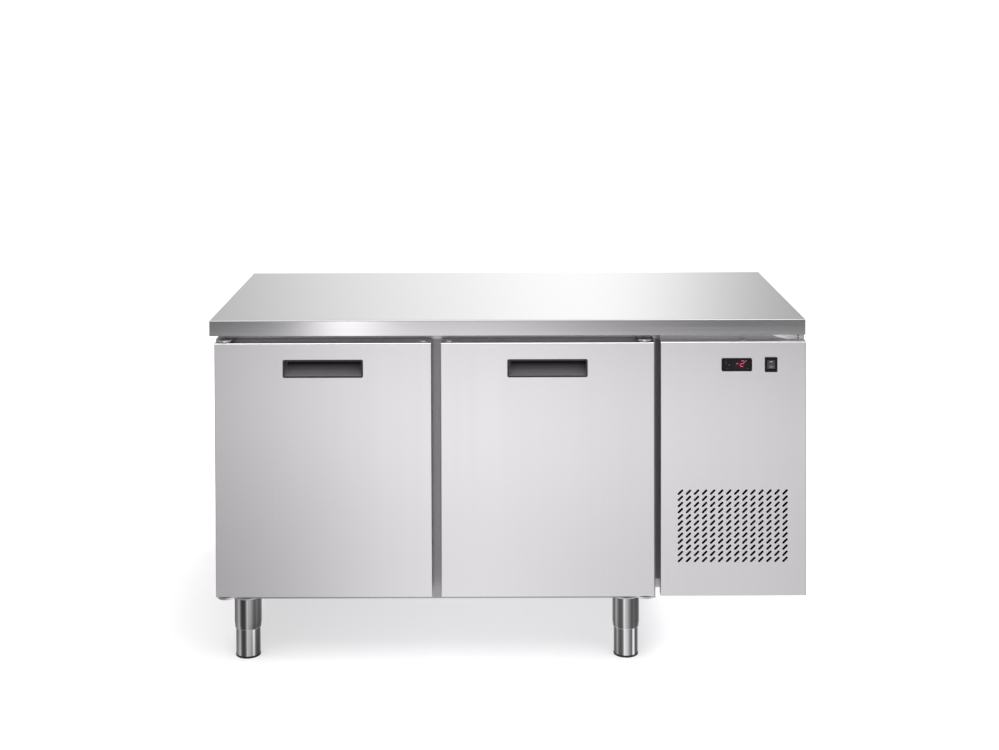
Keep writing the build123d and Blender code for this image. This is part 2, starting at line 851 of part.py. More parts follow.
# ---- fans ----
def make_fan(name, plane, tip):
    """Axial fan on its own shaft; the plane faces the way the air leaves."""
    hub_front = -fan_front_gap
    hub_back = hub_front - fan_depth
    shaft_end = hub_back - motor_gap - motor_length + shaft_stop
    reach = tip - fan_hub + fan_blade_root
    chord = fan_depth / sin(radians(fan_pitch))
    with BuildPart(plane) as fan:
        with Locations((0, 0, (hub_front + hub_back) / 2)):
            with PolarLocations(tip - reach / 2, fan_blades):
                Box(reach, chord, fan_blade_sheet, rotation=(fan_pitch, 0, 0))
        bar((0, 0, hub_back), (0, 0, hub_front), tip, Mode.INTERSECT)
        bar((0, 0, hub_back), (0, 0, hub_front), fan_hub)
        bar((0, 0, shaft_end), (0, 0, hub_back), shaft_radius)
    keep(fan, name)


def make_fan_motor(name, plane, hole):
    """Motor can with a bored front and arms that reach past the fan to its mounting sheet."""
    front = -(fan_front_gap + fan_depth + motor_gap)
    back = front - motor_length
    leg = hole + arm_clear
    with BuildPart(plane) as motor:
        bar((0, 0, back), (0, 0, front), motor_radius)
        with PolarLocations(0, motor_arms, start_angle=90):
            block((motor_radius / 2, -motor_arm_width / 2, front - 2 * motor_arm),
                  (leg + motor_arm, motor_arm_width / 2, front - motor_arm))
            block((leg, -motor_arm_width / 2, front - 2 * motor_arm),
                  (leg + motor_arm, motor_arm_width / 2, 0))
        bar((0, 0, back + shaft_stop / 2), (0, 0, front), shaft_radius + running_gap, Mode.SUBTRACT)
    keep(motor, name)


# ---- evaporator ----
evaporator_fan_y = cavity_back - evaporator_fan_back
evaporator_fan_z = cover_top - evaporator_fan_drop
evaporator_plane = Plane(origin=(cover_face + cover_sheet, evaporator_fan_y, evaporator_fan_z),
                         z_dir=(-1, 0, 0))
coil_right = cavity_right - coil_inset
coil_left = coil_right - coil_thickness
coil_back = cavity_back - coil_back_gap
coil_front = coil_back - coil_length
coil_bottom = cavity_floor + coil_bottom_rise
coil_top = cavity_floor + coil_top_rise


def make_evaporator_cover():
    """Sheet cover over coil and fan, open to the wall, with a fan guard and air slots."""
    with BuildPart() as cover:
        block((cover_face, cover_front, cover_bottom), (cavity_right, cover_back, cover_top))
        block((cover_face + cover_sheet, cover_front + cover_sheet, cover_bottom + cover_sheet),
              (cavity_right, cover_back - cover_sheet, cover_top - cover_sheet), Mode.SUBTRACT)
        with BuildSketch(Plane.YZ.offset(cover_face)):
            with Locations((evaporator_fan_y, evaporator_fan_z)):
                Circle(evaporator_fan_hole)
                for ring in guard_rings:
                    Circle(ring + guard_bar / 2, mode=Mode.SUBTRACT)
                    Circle(ring - guard_bar / 2)
                Circle(guard_hub, mode=Mode.SUBTRACT)
                Rectangle(2 * evaporator_fan_hole, guard_bar, mode=Mode.SUBTRACT)
                Rectangle(guard_bar, 2 * evaporator_fan_hole, mode=Mode.SUBTRACT)
            with Locations(((coil_front + coil_back) / 2, (coil_bottom + coil_top) / 2)):
                with GridLocations(coil_length / cover_slot_columns,
                                   (coil_top - coil_bottom) / cover_slot_rows,
                                   cover_slot_columns, cover_slot_rows):
                    SlotOverall(cover_slot_length, cover_slot_width)
        extrude(amount=cover_sheet, mode=Mode.SUBTRACT)
    keep(cover, "evaporator_cover")


def make_evaporator_coil():
    """Finned block between two end sheets that reach the wall, with its tube ends."""
    sheet = condenser_side_sheet
    pitch = (coil_top - coil_bottom) / coil_tube_rows
    with BuildPart() as coil:
        block((coil_left, coil_front, coil_bottom), (coil_right, coil_back, coil_top))
        for y in (coil_front - sheet, coil_back):
            block((coil_left, y, coil_bottom), (cavity_right, y + sheet, coil_top))
        for row in range(coil_tube_rows):
            z = coil_bottom + (row + 0.5) * pitch
            x = (coil_left + coil_right) / 2
            bar((x, coil_front - coil_tube_proud, z), (x, coil_back + coil_tube_proud, z), coil_tube)
    keep(coil, "evaporator_coil")


def make_drip_tray():
    """Tray under the coil with a drain tube through the wall and down over the pan."""
    low = cavity_floor + tray_rise
    high = low + tray_height
    left = coil_left - tray_overhang
    front = coil_front - tray_overhang - condenser_side_sheet
    back = coil_back + tray_overhang + condenser_side_sheet
    start = (cavity_right - tray_sheet, drain_y, drain_z)
    corner = (cavity_right + drain_run, drain_y, drain_z)
    end = (cavity_right + drain_run, drain_y, drain_z - drain_drop)
    with BuildPart() as tray:
        block((left, front, low), (cavity_right, back, high))
        block((left + tray_sheet, front + tray_sheet, low + tray_sheet),
              (cavity_right - tray_sheet, back - tray_sheet, high), Mode.SUBTRACT)
        with BuildLine() as route:
            FilletPolyline(start, corner, end, radius=drain_bend)
        with BuildSketch(Plane(origin=start, z_dir=(1, 0, 0))):
            Circle(drain_radius)
        sweep(path=route.line)
        with BuildSketch(Plane(origin=start, z_dir=(1, 0, 0))):
            Circle(drain_radius - drain_wall)
        sweep(path=route.line, mode=Mode.SUBTRACT)
    keep(tray, "drip_tray")


# ---- machine compartment sheets ----
def make_machine_base_tray():
    front = front_face + tray_front_setback
    back = body_back - skin
    right = machine_right - skin
    top = tray_floor + tray_upstand
    with BuildPart() as tray:
        block((body_right, front, machine_bottom), (right, back, top))
        block((body_right + tray_floor_sheet, front + tray_floor_sheet, tray_floor),
              (right - tray_floor_sheet, back - tray_floor_sheet, top), Mode.SUBTRACT)
    keep(tray, "machine_base_tray")


def make_machine_front_panel():
    """Front pan with the slanted air slots and the cut-outs of controller and switch."""
    slots_middle = (panel_left + slots_from_panel_left, machine_bottom + slots_above_panel_bottom)
    controller_cut = (controller_length - 2 * controller_body_inset + 2 * seat_gap,
                      controller_height - 2 * controller_body_inset + 2 * seat_gap)
    switch_cut = (switch_width - 2 * switch_body_inset + 2 * seat_gap,
                  switch_height - 2 * switch_body_inset + 2 * seat_gap)
    screw_x, screw_y = panel_screw
    with BuildPart() as panel:
        block((panel_left, front_face, machine_bottom),
              (machine_right, front_face + panel_return, panel_top))
        fillet(panel.faces().sort_by(Axis.Y)[0].edges(), door_edge_radius)
        block((panel_left + skin, front_face + skin, machine_bottom + skin),
              (machine_right - skin, front_face + panel_return, panel_top - skin), Mode.SUBTRACT)
        with BuildSketch(Plane.XZ.offset(-front_face)):
            with Locations(slots_middle):
                with GridLocations(slot_pitch_x, slot_pitch_z, slot_columns, slot_rows):
                    SlotOverall(slot_length, slot_width, rotation=slot_angle)
            with Locations(controller_middle):
                Rectangle(*controller_cut)
            with Locations(switch_middle):
                Rectangle(*switch_cut)
        extrude(amount=-skin, mode=Mode.SUBTRACT)
        bar((screw_x, screw_y, panel_top - skin), (screw_x, screw_y, panel_top), screw_radius + screw_gap,
            Mode.SUBTRACT)
    keep(panel, "machine_front_panel")


def make_machine_front_rails():
    """The folded post that closes the compartment beside the insulated body, and the angle
    that ties the front panel to the worktop; the angle's right end is cut on a slant."""
    back = front_face + panel_return + seat_gap
    left = panel_left + skin + seat_gap
    right = machine_right - skin - rail_end_gap
    low = panel_top - skin - rail_sheet
    screw_x, screw_y = panel_screw
    post_foot = tray_floor + tray_upstand
    post_tip = body_right + post_width
    with BuildPart() as rails:
        with BuildSketch(Plane.XZ.offset(-(back + rail_sheet))):
            with BuildLine():
                Polyline((left, low), (right, low), (right - rail_end_slope, worktop_under),
                         (left, worktop_under), close=True)
            make_face()
        extrude(amount=rail_sheet)
        block((left, back - rail_width, low), (right, back, panel_top - skin))
        bar((screw_x, screw_y, low), (screw_x, screw_y, panel_top), screw_radius + screw_gap, Mode.SUBTRACT)
        block((body_right, body_front, post_foot), (post_tip, body_front + skin, body_top))
        block((body_right, body_front + skin, post_foot),
              (body_right + skin, body_front + post_width, body_top))
    keep(rails, "machine_front_rails")


def make_machine_side_panel():
    inner = machine_right - skin
    tip = machine_right - panel_flange
    flange_low = tray_floor + tray_upstand + seat_gap
    back = body_back - skin
    with BuildPart() as panel:
        block((inner, side_front, machine_bottom), (machine_right, back, body_top))
        block((tip, side_front, flange_low), (machine_right, side_front + skin, body_top))
        block((tip, back - skin, flange_low), (machine_right, back, body_top))
        drill_front(back - 2 * skin, back + skin, back_screws)
    keep(panel, "machine_side_panel")


def make_machine_back_panel():
    slots_middle = ((body_right + machine_right) / 2, machine_bottom + back_slots_rise)
    gland_x = machine_right - gland_inset
    gland_z = machine_bottom + gland_rise
    with BuildPart() as panel:
        block((body_right, body_back - skin, machine_bottom), (machine_right, body_back, body_top))
        with BuildSketch(Plane.XZ.offset(-body_back)):
            with Locations(slots_middle):
                with GridLocations(back_slot_length + back_slot_pitch, back_slot_pitch,
                                   back_slot_columns, back_slot_rows):
                    SlotOverall(back_slot_length, back_slot_width)
        extrude(amount=skin, mode=Mode.SUBTRACT)
        bar((gland_x, body_back - skin, gland_z), (gland_x, body_back, gland_z),
            gland_thread + seat_gap, Mode.SUBTRACT)
        drill_front(body_back - skin, body_back, back_screws)
    keep(panel, "machine_back_panel")


def make_cable_gland():
    """Gland in the back panel: nut inside, hexagon and dome outside, bored through."""
    x = machine_right - gland_inset
    z = machine_bottom + gland_rise
    inside = body_back - skin
    with BuildPart() as gland:
        bar((x, inside - gland_nut - gland_dome, z), (x, body_back + gland_nut, z), gland_thread)
        for plane_y in (inside, body_back + gland_nut):
            with BuildSketch(Plane.XZ.offset(-plane_y)):
                with Locations((x, z)):
                    RegularPolygon(gland_radius, 6)
            extrude(amount=gland_nut)
        bar((x, body_back + gland_nut, z), (x, body_back + gland_nut + gland_dome, z), gland_thread)
        bar((x, inside - 2 * gland_nut, z), (x, body_back + 2 * gland_nut, z), gland_bore, Mode.SUBTRACT)
    keep(gland, "cable_gland")


# ---- controller and switch ----
def make_controller():
    x, z = controller_middle
    half_x = controller_length / 2 - controller_body_inset
    half_z = controller_height / 2 - controller_body_inset
    face = front_face - controller_proud
    with BuildPart() as case:
        with BuildSketch(Plane.XZ.offset(-front_face)):
            with Locations((x, z)):
                RectangleRounded(controller_length, controller_height, controller_corner)
        extrude(amount=controller_proud)
        fillet(case.faces().sort_by(Axis.Y)[0].edges(), fascia_edge)
        block((x - half_x, front_face, z - half_z),
              (x + half_x, front_face + controller_body_depth, z + half_z))
        block((x - window_length / 2, face, z - window_height / 2),
              (x + window_length / 2, face + window_depth, z + window_height / 2), Mode.SUBTRACT)
    keep(case, "controller_case")
    with BuildPart() as window:
        block((x - window_length / 2, face, z - window_height / 2),
              (x + window_length / 2, face + window_depth, z + window_height / 2))
    keep(window, "controller_window")


rocker_pivot_y = front_face - switch_proud + rocker_setback


def make_switch_bezel():
    """Snap-in switch body: a flat frame and the well that the rocker tilts in."""
    x, z = switch_middle
    half_x = switch_width / 2 - switch_body_inset
    half_z = switch_height / 2 - switch_body_inset
    well_x = rocker_width / 2 + rocker_side_gap
    well_z = rocker_radius + rocker_tip_gap
    pin_end = well_x + rocker_pin_reach + seat_gap
    face = front_face - switch_proud
    floor = rocker_pivot_y + rocker_radius + rocker_tip_gap
    with BuildPart() as bezel:
        with BuildSketch(Plane.XZ.offset(-front_face)):
            with Locations((x, z)):
                RectangleRounded(switch_width, switch_height, switch_corner)
        extrude(amount=switch_proud)
        fillet(bezel.faces().sort_by(Axis.Y)[0].edges(), fascia_edge)
        block((x - half_x, front_face, z - half_z),
              (x + half_x, front_face + switch_body_depth, z + half_z))
        block((x - well_x, face, z - well_z), (x + well_x, floor, z + well_z), Mode.SUBTRACT)
        bar((x - pin_end, rocker_pivot_y, z), (x + pin_end, rocker_pivot_y, z),
            rocker_pin_radius + pin_gap, Mode.SUBTRACT)
    keep(bezel, "switch_bezel")


def make_switch_rocker():
    """Rocker, shown with its upper half pressed in: a drum with two flat faces in a shallow V."""
    x, z = switch_middle
    tip = radians(rocker_tilt)
    reach = 2 * rocker_radius
    tilted = Plane(origin=(x, rocker_pivot_y, z), x_dir=(0, cos(tip), -sin(tip)), z_dir=(1, 0, 0))
    dip = rocker_face * (1 - sin(tip))
    with BuildPart(tilted) as rocker:
        with BuildSketch(tilted.offset(-rocker_width / 2)):
            Circle(rocker_radius)
            with BuildLine():
                Polyline((-dip, 0), (-dip - reach * sin(tip), reach), (-reach, reach), (-reach, -reach),
                         (-dip - reach * sin(tip), -reach), close=True)
            make_face(mode=Mode.SUBTRACT)
        extrude(amount=rocker_width)
        bar((0, 0, -rocker_width / 2 - rocker_side_gap - rocker_pin_reach),
            (0, 0, rocker_width / 2 + rocker_side_gap + rocker_pin_reach), rocker_pin_radius)
    keep(rocker, "switch_rocker")


# ---- condensing unit ----
condenser_left = condenser_middle_x - condenser_width / 2
condenser_right = condenser_middle_x + condenser_width / 2
condenser_top = condenser_bottom + condenser_height
condenser_port_y = (condenser_front + condenser_back) / 2
condenser_port_top = condenser_top + port_height
discharge_x = condenser_right - discharge_inset
drier_x = condenser_right - drier_inset
drier_y = body_back - drier_back
drier_low = tray_floor + drier_rise
condenser_plane = Plane(origin=(condenser_middle_x, shroud_back, condenser_middle_z), z_dir=(0, -1, 0))


def make_condenser_coil():
    """Finned block between side sheets that stand on the base tray, with its two ports."""
    sheet = condenser_side_sheet
    margin = condenser_side_margin
    with BuildPart() as coil:
        block((condenser_left, condenser_front, condenser_bottom),
              (condenser_right, condenser_back, condenser_top))
        for x in (condenser_left - sheet, condenser_right):
            block((x, condenser_front, tray_floor), (x + sheet, condenser_back, condenser_top + margin))
        for x in (discharge_x, drier_x):
            bar((x, condenser_port_y, condenser_top), (x, condenser_port_y, condenser_port_top),
                port_radius)
    keep(coil, "condenser_coil")


def make_condenser_shroud():
    """Sheet hood behind the coil that carries the fan."""
    sheet = shroud_sheet
    with BuildPart() as shroud:
        block((condenser_left, condenser_back, condenser_bottom),
              (condenser_right, shroud_back, condenser_top))
        block((condenser_left + sheet, condenser_back, condenser_bottom + sheet),
              (condenser_right - sheet, shroud_back - sheet, condenser_top - sheet), Mode.SUBTRACT)
        bar((condenser_middle_x, shroud_back - sheet, condenser_middle_z),
            (condenser_middle_x, shroud_back, condenser_middle_z), condenser_fan_hole, Mode.SUBTRACT)
    keep(shroud, "condenser_shroud")


def port_columns():
    """Where the suction and discharge stubs stand on the compressor."""
    return compressor_x - port_spread / 2, compressor_x + port_spread / 2


def make_compressor():
    """Sealed compressor: domed can, foot plate, terminal boss and two tube stubs."""
    half_long = compressor_plate_length / 2
    half_wide = compressor_plate_width / 2
    boss_z = compressor_base + terminal_rise
    with BuildPart() as compressor:
        bar((compressor_x, compressor_y, compressor_base), (compressor_x, compressor_y, compressor_top),
            compressor_radius)
        fillet(compressor.faces().sort_by(Axis.Z)[-1].edges(), compressor_dome)
        block((compressor_x - half_long, compressor_y - half_wide, compressor_foot),
              (compressor_x + half_long, compressor_y + half_wide, compressor_base))
        block((compressor_x, compressor_y - terminal_width / 2, boss_z - terminal_height / 2),
              (compressor_x + compressor_radius + terminal_boss, compressor_y + terminal_width / 2,
               boss_z + terminal_height / 2))
        for x in port_columns():
            bar((x, port_y, compressor_top - port_radius), (x, port_y, port_top), port_radius)
    keep(compressor, "compressor")


def make_compressor_grommets():
    with BuildPart() as grommets:
        with Locations((compressor_x, compressor_y, (tray_floor + compressor_foot) / 2)):
            with GridLocations(compressor_plate_length - 2 * grommet_inset,
                               compressor_plate_width - 2 * grommet_inset, 2, 2):
                Cylinder(grommet_radius, grommet_height)
                Hole(grommet_hole)
    keep(grommets, "compressor_grommets")


def make_terminal_cover():
    face = compressor_x + compressor_radius + terminal_boss
    middle = compressor_base + terminal_rise
    half_y = terminal_width / 2
    half_z = terminal_height / 2
    with BuildPart() as cover:
        block((face, compressor_y - half_y, middle - half_z),
              (face + terminal_depth, compressor_y + half_y, middle + half_z))
        fillet(cover.faces().sort_by(Axis.X)[-1].edges(), 2 * terminal_wall)
        block((face, compressor_y - half_y + terminal_wall, middle - half_z + terminal_wall),
              (face + terminal_depth - 2 * terminal_wall, compressor_y + half_y - terminal_wall,
               middle + half_z - terminal_wall), Mode.SUBTRACT)
    keep(cover, "terminal_cover")


def make_filter_drier():
    """Copper can with a cone drawn down at each end."""
    high = drier_low + drier_length
    with BuildPart() as drier:
        with BuildSketch(Plane.XZ.offset(-drier_y)):
            with BuildLine():
                Polyline((drier_x, drier_low), (drier_x + drier_neck, drier_low),
                         (drier_x + drier_radius, drier_low + drier_cone),
                         (drier_x + drier_radius, high - drier_cone), (drier_x + drier_neck, high),
                         (drier_x, high), close=True)
            make_face()
        revolve(axis=Axis((drier_x, drier_y, 0), (0, 0, 1)))
    keep(drier, "filter_drier")


def make_refrigerant_pipes():
    """Four bent copper pipes, each ending face to face with what it feeds."""
    suction_x, hot_x = port_columns()
    high = condenser_port_top + pipe_loop_rise
    low = drier_low - pipe_loop_drop
    routes = [
        [(hot_x, port_y, port_top), (hot_x, port_y, high), (discharge_x, port_y, high),
         (discharge_x, condenser_port_y, high), (discharge_x, condenser_port_y, condenser_port_top)],
        [(drier_x, condenser_port_y, condenser_port_top), (drier_x, condenser_port_y, high),
         (drier_x, drier_y, high), (drier_x, drier_y, drier_low + drier_length)],
        [(drier_x, drier_y, drier_low), (drier_x, drier_y, low), (drier_x, liquid_y, low),
         (drier_x, liquid_y, liquid_z), (coil_right, liquid_y, liquid_z)],
        [(suction_x, port_y, port_top), (suction_x, port_y, suction_z), (suction_x, suction_y, suction_z),
         (coil_right, suction_y, suction_z)],
    ]
    with BuildPart() as pipes:
        for route in routes:
            with BuildLine() as line:
                FilletPolyline(*route, radius=pipe_bend)
            with BuildSketch(Plane(origin=route[0], z_dir=Vector(*route[1]) - Vector(*route[0]))):
                Circle(pipe_radius)
            sweep(path=line.line)
    keep(pipes, "refrigerant_pipes")


def make_condensate_pan():
    left = body_right + pan_gap
    back = body_back - pan_back_gap
    front = back - pan_depth
    top = tray_floor + pan_height
    with BuildPart() as pan:
        block((left, front, tray_floor), (left + pan_width, back, top))
        block((left + pan_sheet, front + pan_sheet, tray_floor + pan_sheet),
              (left + pan_width - pan_sheet, back - pan_sheet, top), Mode.SUBTRACT)
    keep(pan, "condensate_pan")


# ---- screws ----
def screw(head_face, direction):
    """One pan-head screw with a cross cut: its head stands on the named point."""
    outward = Vector(*direction)
    base = Vector(*head_face)
    top = base + outward * screw_head
    bar(tuple(base), tuple(top), screw_head_radius)
    bar(tuple(base - outward * screw_length), tuple(base), screw_radius)
    with Locations(Plane(origin=tuple(top - outward * screw_recess / 2), z_dir=direction)):
        Box(screw_cross, screw_recess, screw_recess, mode=Mode.SUBTRACT)
        Box(screw_recess, screw_cross, screw_recess, mode=Mode.SUBTRACT)


def make_screws():
    with BuildPart() as screws:
        for x, z in hinge_screws:
            screw((x, body_front - hinge_plate, z), (0, -1, 0))
        for x, z in back_screws:
            screw((x, body_back, z), (0, 1, 0))
        screw((panel_screw[0], panel_screw[1], panel_top), (0, 0, 1))
    keep(screws, "screws")


# ---- the whole counter ----
make_worktop()
make_worktop_core()
make_side_panel("left_side_panel", body_left, 1, False)
make_side_panel("right_side_panel", body_right, -1, True)
make_back_panel()
make_bottom_panel()
make_front_frame()
make_centre_mullion()
make_inner_liner()
make_foam_insulation()
for door in doors:
    make_door_skin(door)
    make_door_liner(door)
    make_door_foam(door)
    make_door_gasket(door)
    make_door_handle(door)
    make_door_bushes(door)
make_hinges("upper_hinges", upper_plate, upper_plate, body_top - seat_gap,
            door_top - pin_reach, upper_plate)
make_hinges("lower_hinges", lower_plate, lower_plate - lower_flange_height, lower_plate,
            lower_plate + hinge_plate, door_bottom + pin_reach)
make_leg_plates()
make_leg_sleeves()
for foot_number, (leg_x, leg_y) in enumerate(legs):
    make_foot(["front_left_foot", "front_right_foot", "back_left_foot", "back_right_foot"][foot_number],
              leg_x, leg_y)
make_shelf_uprights()
make_shelf_runners()
runners = runner_faces()
make_shelf("left_shelf", runners[0][0], runners[1][0])
make_shelf("right_shelf", runners[2][0], runners[3][0])
make_evaporator_cover()
make_evaporator_coil()
make_drip_tray()
make_fan("evaporator_fan", evaporator_plane, evaporator_fan_tip)
make_fan_motor("evaporator_fan_motor", evaporator_plane, evaporator_fan_hole)
make_machine_base_tray()
make_machine_front_panel()
make_machine_front_rails()
make_machine_side_panel()
make_machine_back_panel()
make_cable_gland()
make_controller()
make_switch_bezel()
make_switch_rocker()
make_condenser_coil()
make_condenser_shroud()
make_fan("condenser_fan", condenser_plane, condenser_fan_tip)
make_fan_motor("condenser_fan_motor", condenser_plane, condenser_fan_hole)
make_compressor()
make_compressor_grommets()
make_terminal_cover()
make_filter_drier()
make_refrigerant_pipes()
make_condensate_pan()
make_screws()
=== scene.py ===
import bpy
from math import cos, pi, radians, sin, tan
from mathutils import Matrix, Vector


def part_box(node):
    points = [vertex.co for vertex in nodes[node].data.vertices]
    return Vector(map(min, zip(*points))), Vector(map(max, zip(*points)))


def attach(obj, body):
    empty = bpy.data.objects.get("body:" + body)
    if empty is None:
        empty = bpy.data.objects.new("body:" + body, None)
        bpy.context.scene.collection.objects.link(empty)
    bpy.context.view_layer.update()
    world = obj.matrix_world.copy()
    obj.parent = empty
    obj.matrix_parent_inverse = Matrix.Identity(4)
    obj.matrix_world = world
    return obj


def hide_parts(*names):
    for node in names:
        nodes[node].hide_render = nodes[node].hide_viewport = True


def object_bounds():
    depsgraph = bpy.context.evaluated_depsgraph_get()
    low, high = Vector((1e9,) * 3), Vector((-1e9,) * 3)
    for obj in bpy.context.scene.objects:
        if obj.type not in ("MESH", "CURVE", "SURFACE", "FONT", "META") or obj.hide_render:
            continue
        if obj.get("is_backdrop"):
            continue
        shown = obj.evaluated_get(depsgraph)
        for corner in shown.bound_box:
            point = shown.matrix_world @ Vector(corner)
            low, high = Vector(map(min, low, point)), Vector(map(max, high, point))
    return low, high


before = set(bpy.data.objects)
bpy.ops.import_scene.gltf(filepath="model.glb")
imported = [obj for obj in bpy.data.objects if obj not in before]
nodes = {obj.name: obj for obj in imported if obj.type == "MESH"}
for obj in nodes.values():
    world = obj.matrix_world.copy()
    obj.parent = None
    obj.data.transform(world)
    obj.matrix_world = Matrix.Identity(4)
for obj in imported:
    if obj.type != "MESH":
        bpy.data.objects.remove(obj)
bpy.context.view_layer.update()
scene = bpy.context.scene
scene.view_settings.view_transform = "Standard"

# ---- Camera ----
# Stands square in front of the counter at standing eye height. Its frame is shifted down,
# as with a view camera, so that the uprights of the counter stay upright.
camera_dip, camera_roll, camera_turn = 1.381, 0.167, 0.029
camera_data = bpy.data.cameras.new("front_view")
camera_data.sensor_width = 36
camera_data.lens = 56.86
camera_data.shift_y = -0.3244
camera = bpy.data.objects.new("front_view", camera_data)
camera.location = (-0.0149, -4.1607, 1.5955)
camera.rotation_euler = (radians(90 - camera_dip), radians(camera_roll), radians(camera_turn))
scene.collection.objects.link(camera)
scene.camera = camera


# ---- Studio floor ----
# A plain white floor that runs up into a white background. Polished metal sees bright
# middles and duller ends in it, as it would with one wide window behind the camera.
class Wire:
    """One output of a material's nodes: arithmetic on it adds Math nodes."""

    def __init__(self, tree, socket):
        self.tree = tree
        self.socket = socket

    def join(self, operation, *values):
        node = self.tree.nodes.new("ShaderNodeMath")
        node.operation = operation
        for socket, value in zip(node.inputs, values):
            put(self.tree, socket, value)
        return Wire(self.tree, node.outputs[0])

    def __add__(self, other):
        return self.join("ADD", self, other)

    def __sub__(self, other):
        return self.join("SUBTRACT", self, other)

    def __rsub__(self, other):
        return self.join("SUBTRACT", other, self)

    def __mul__(self, other):
        return self.join("MULTIPLY", self, other)

    def __truediv__(self, other):
        return self.join("DIVIDE", self, other)

    def __pow__(self, other):
        return self.join("POWER", self, other)

    def __mod__(self, other):
        return self.join("MODULO", self, other)

    def __gt__(self, other):
        return self.join("GREATER_THAN", self, other)

    def __lt__(self, other):
        return self.join("LESS_THAN", self, other)

    __radd__ = __add__
    __rmul__ = __mul__


def put(tree, socket, value):
    """Link a wire to a socket, or set the socket to a plain value."""
    if isinstance(value, Wire):
        tree.links.new(value.socket, socket)
    else:
        socket.default_value = value


class Finish:
    """A material in the making: its nodes, the shader they feed, and the record's slot."""

    def __init__(self, name, slot=None, **constants):
        self.slot = slot
        self.material = bpy.data.materials.new(name)
        self.material.use_nodes = True
        self.tree = self.material.node_tree
        self.shader = self.tree.nodes["Principled BSDF"]
        self.feed(**constants)

    def node(self, kind, settings=None, output=0, **inputs):
        """Add a node: its settings first, then the values or links of its sockets.

        A socket is named with _ for a space, or numbered, such as i0 for the first."""
        node = self.tree.nodes.new("ShaderNode" + kind)
        for name, value in (settings or {}).items():
            setattr(node, name, value)
        for name, value in inputs.items():
            numbered = name[0] == "i" and name[1:].isdigit()
            key = int(name[1:]) if numbered else name.replace("_", " ")
            put(self.tree, node.inputs[key], value)
        return Wire(self.tree, node.outputs[output])

    def feed(self, **sockets):
        """Set or link the shader's own sockets, named with _ for a space."""
        for name, value in sockets.items():
            put(self.tree, self.shader.inputs[name.replace("_", " ")], value)

    def fed(self, name):
        """What already feeds one of the shader's sockets."""
        return Wire(self.tree, self.shader.inputs[name].links[0].from_socket)

    def surface(self, wire):
        """Show something else than the shader."""
        put(self.tree, self.tree.nodes["Material Output"].inputs["Surface"], wire)

    def glow(self, strength, colour=(1, 1, 1)):
        return self.node("Emission", Color=(*colour, 1), Strength=strength)

    def place(self):
        return self.node("TexCoord", output="Object")

    def along(self, axis):
        """One coordinate of the place, in metres."""
        return self.node("SeparateXYZ", output="XYZ".index(axis), Vector=self.place())

    def noise(self, scale, detail=4.0, stretch=None):
        """Noise from 0 to 1; stretch scales its axes apart, for grain that runs one way."""
        where = self.place()
        if stretch:
            where = self.node("Mapping", Vector=where, Scale=stretch)
        return self.node("TexNoise", Vector=where, Scale=scale, Detail=detail)

    def between(self, wire, low, high):
        """Bring a 0 to 1 wire into the range from low to high."""
        return wire * (high - low) + low

    def ramp(self, wire, start, end, low=0.0, high=1.0):
        """Go from low to high as a wire goes from start to end, and stay level outside."""
        return self.node("MapRange", Value=wire, From_Min=start, From_Max=end,
                         To_Min=low, To_Max=high)

    def mix(self, factor, first, second):
        """Blend two colours."""
        first, second = [(*colour, 1) if isinstance(colour, tuple) else colour
                         for colour in (first, second)]
        return self.node("Mix", {"data_type": "RGBA"}, output=2, i0=factor, i6=first, i7=second)

    def tint(self, factor, first, second):
        """Colour the surface with a blend of two colours."""
        self.feed(Base_Color=self.mix(factor, first, second))

    def retint(self, share, colour):
        """Blend a share of another colour into the one that is already there."""
        self.tint(share, self.fed("Base Color"), colour)

    def bump(self, height, strength, distance):
        self.feed(Normal=self.node("Bump", Height=height, Strength=strength, Distance=distance))


def hump(wire, centre, width):
    """A smooth rise and fall round a place, 1 at its middle."""
    reach = (wire - centre) / width
    return reach.join("EXPONENT", reach * reach * -1.0)


def humps(wire, rises, base=0.0):
    """An even base with several humps on it, each given by its middle, width and level."""
    total = base
    for middle, width, level in rises:
        total = total + hump(wire, middle, width) * level
    return total


def all_off():
    bpy.ops.object.select_all(action="DESELECT")


def card(name, size, place, turn=(0, 0, 0)):
    """A large flat card of the studio."""
    all_off()
    bpy.ops.mesh.primitive_plane_add(size=size, location=place, rotation=turn)
    made = bpy.context.object
    made.name = name
    made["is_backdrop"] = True
    return made


floor_size = 18.0
floor_middle = -1.5
eye_depth = 3.8
door_plane = -0.355
floor = card("floor", floor_size, (0, floor_middle, 0))
floor_finish = Finish("studio_floor")
across = floor_finish.along("X")
depth = floor_finish.along("Y") + floor_middle

# What metal sees: soft light near the counter, and a narrower streak further out. A place
# counts by where it shows on the doors: each rise has its middle, width and level there.
spread = across * eye_depth / (eye_depth + door_plane - depth)
near_gain = floor_finish.ramp(depth, -1.5, -3.5, 0.92, 1.7)
near = humps(spread, ((-0.12, 0.44, 0.73), (0.62, 0.42, 0.42)), 0.42) * near_gain
far = humps(spread, ((-0.385, 0.075, 1.9), (-0.12, 0.4, 0.77)), 0.06)
far_share = floor_finish.ramp(depth, -3.9, -4.12)
reflected = floor_finish.glow(near * (1 - far_share) + far * far_share, (1, 0.995, 1))

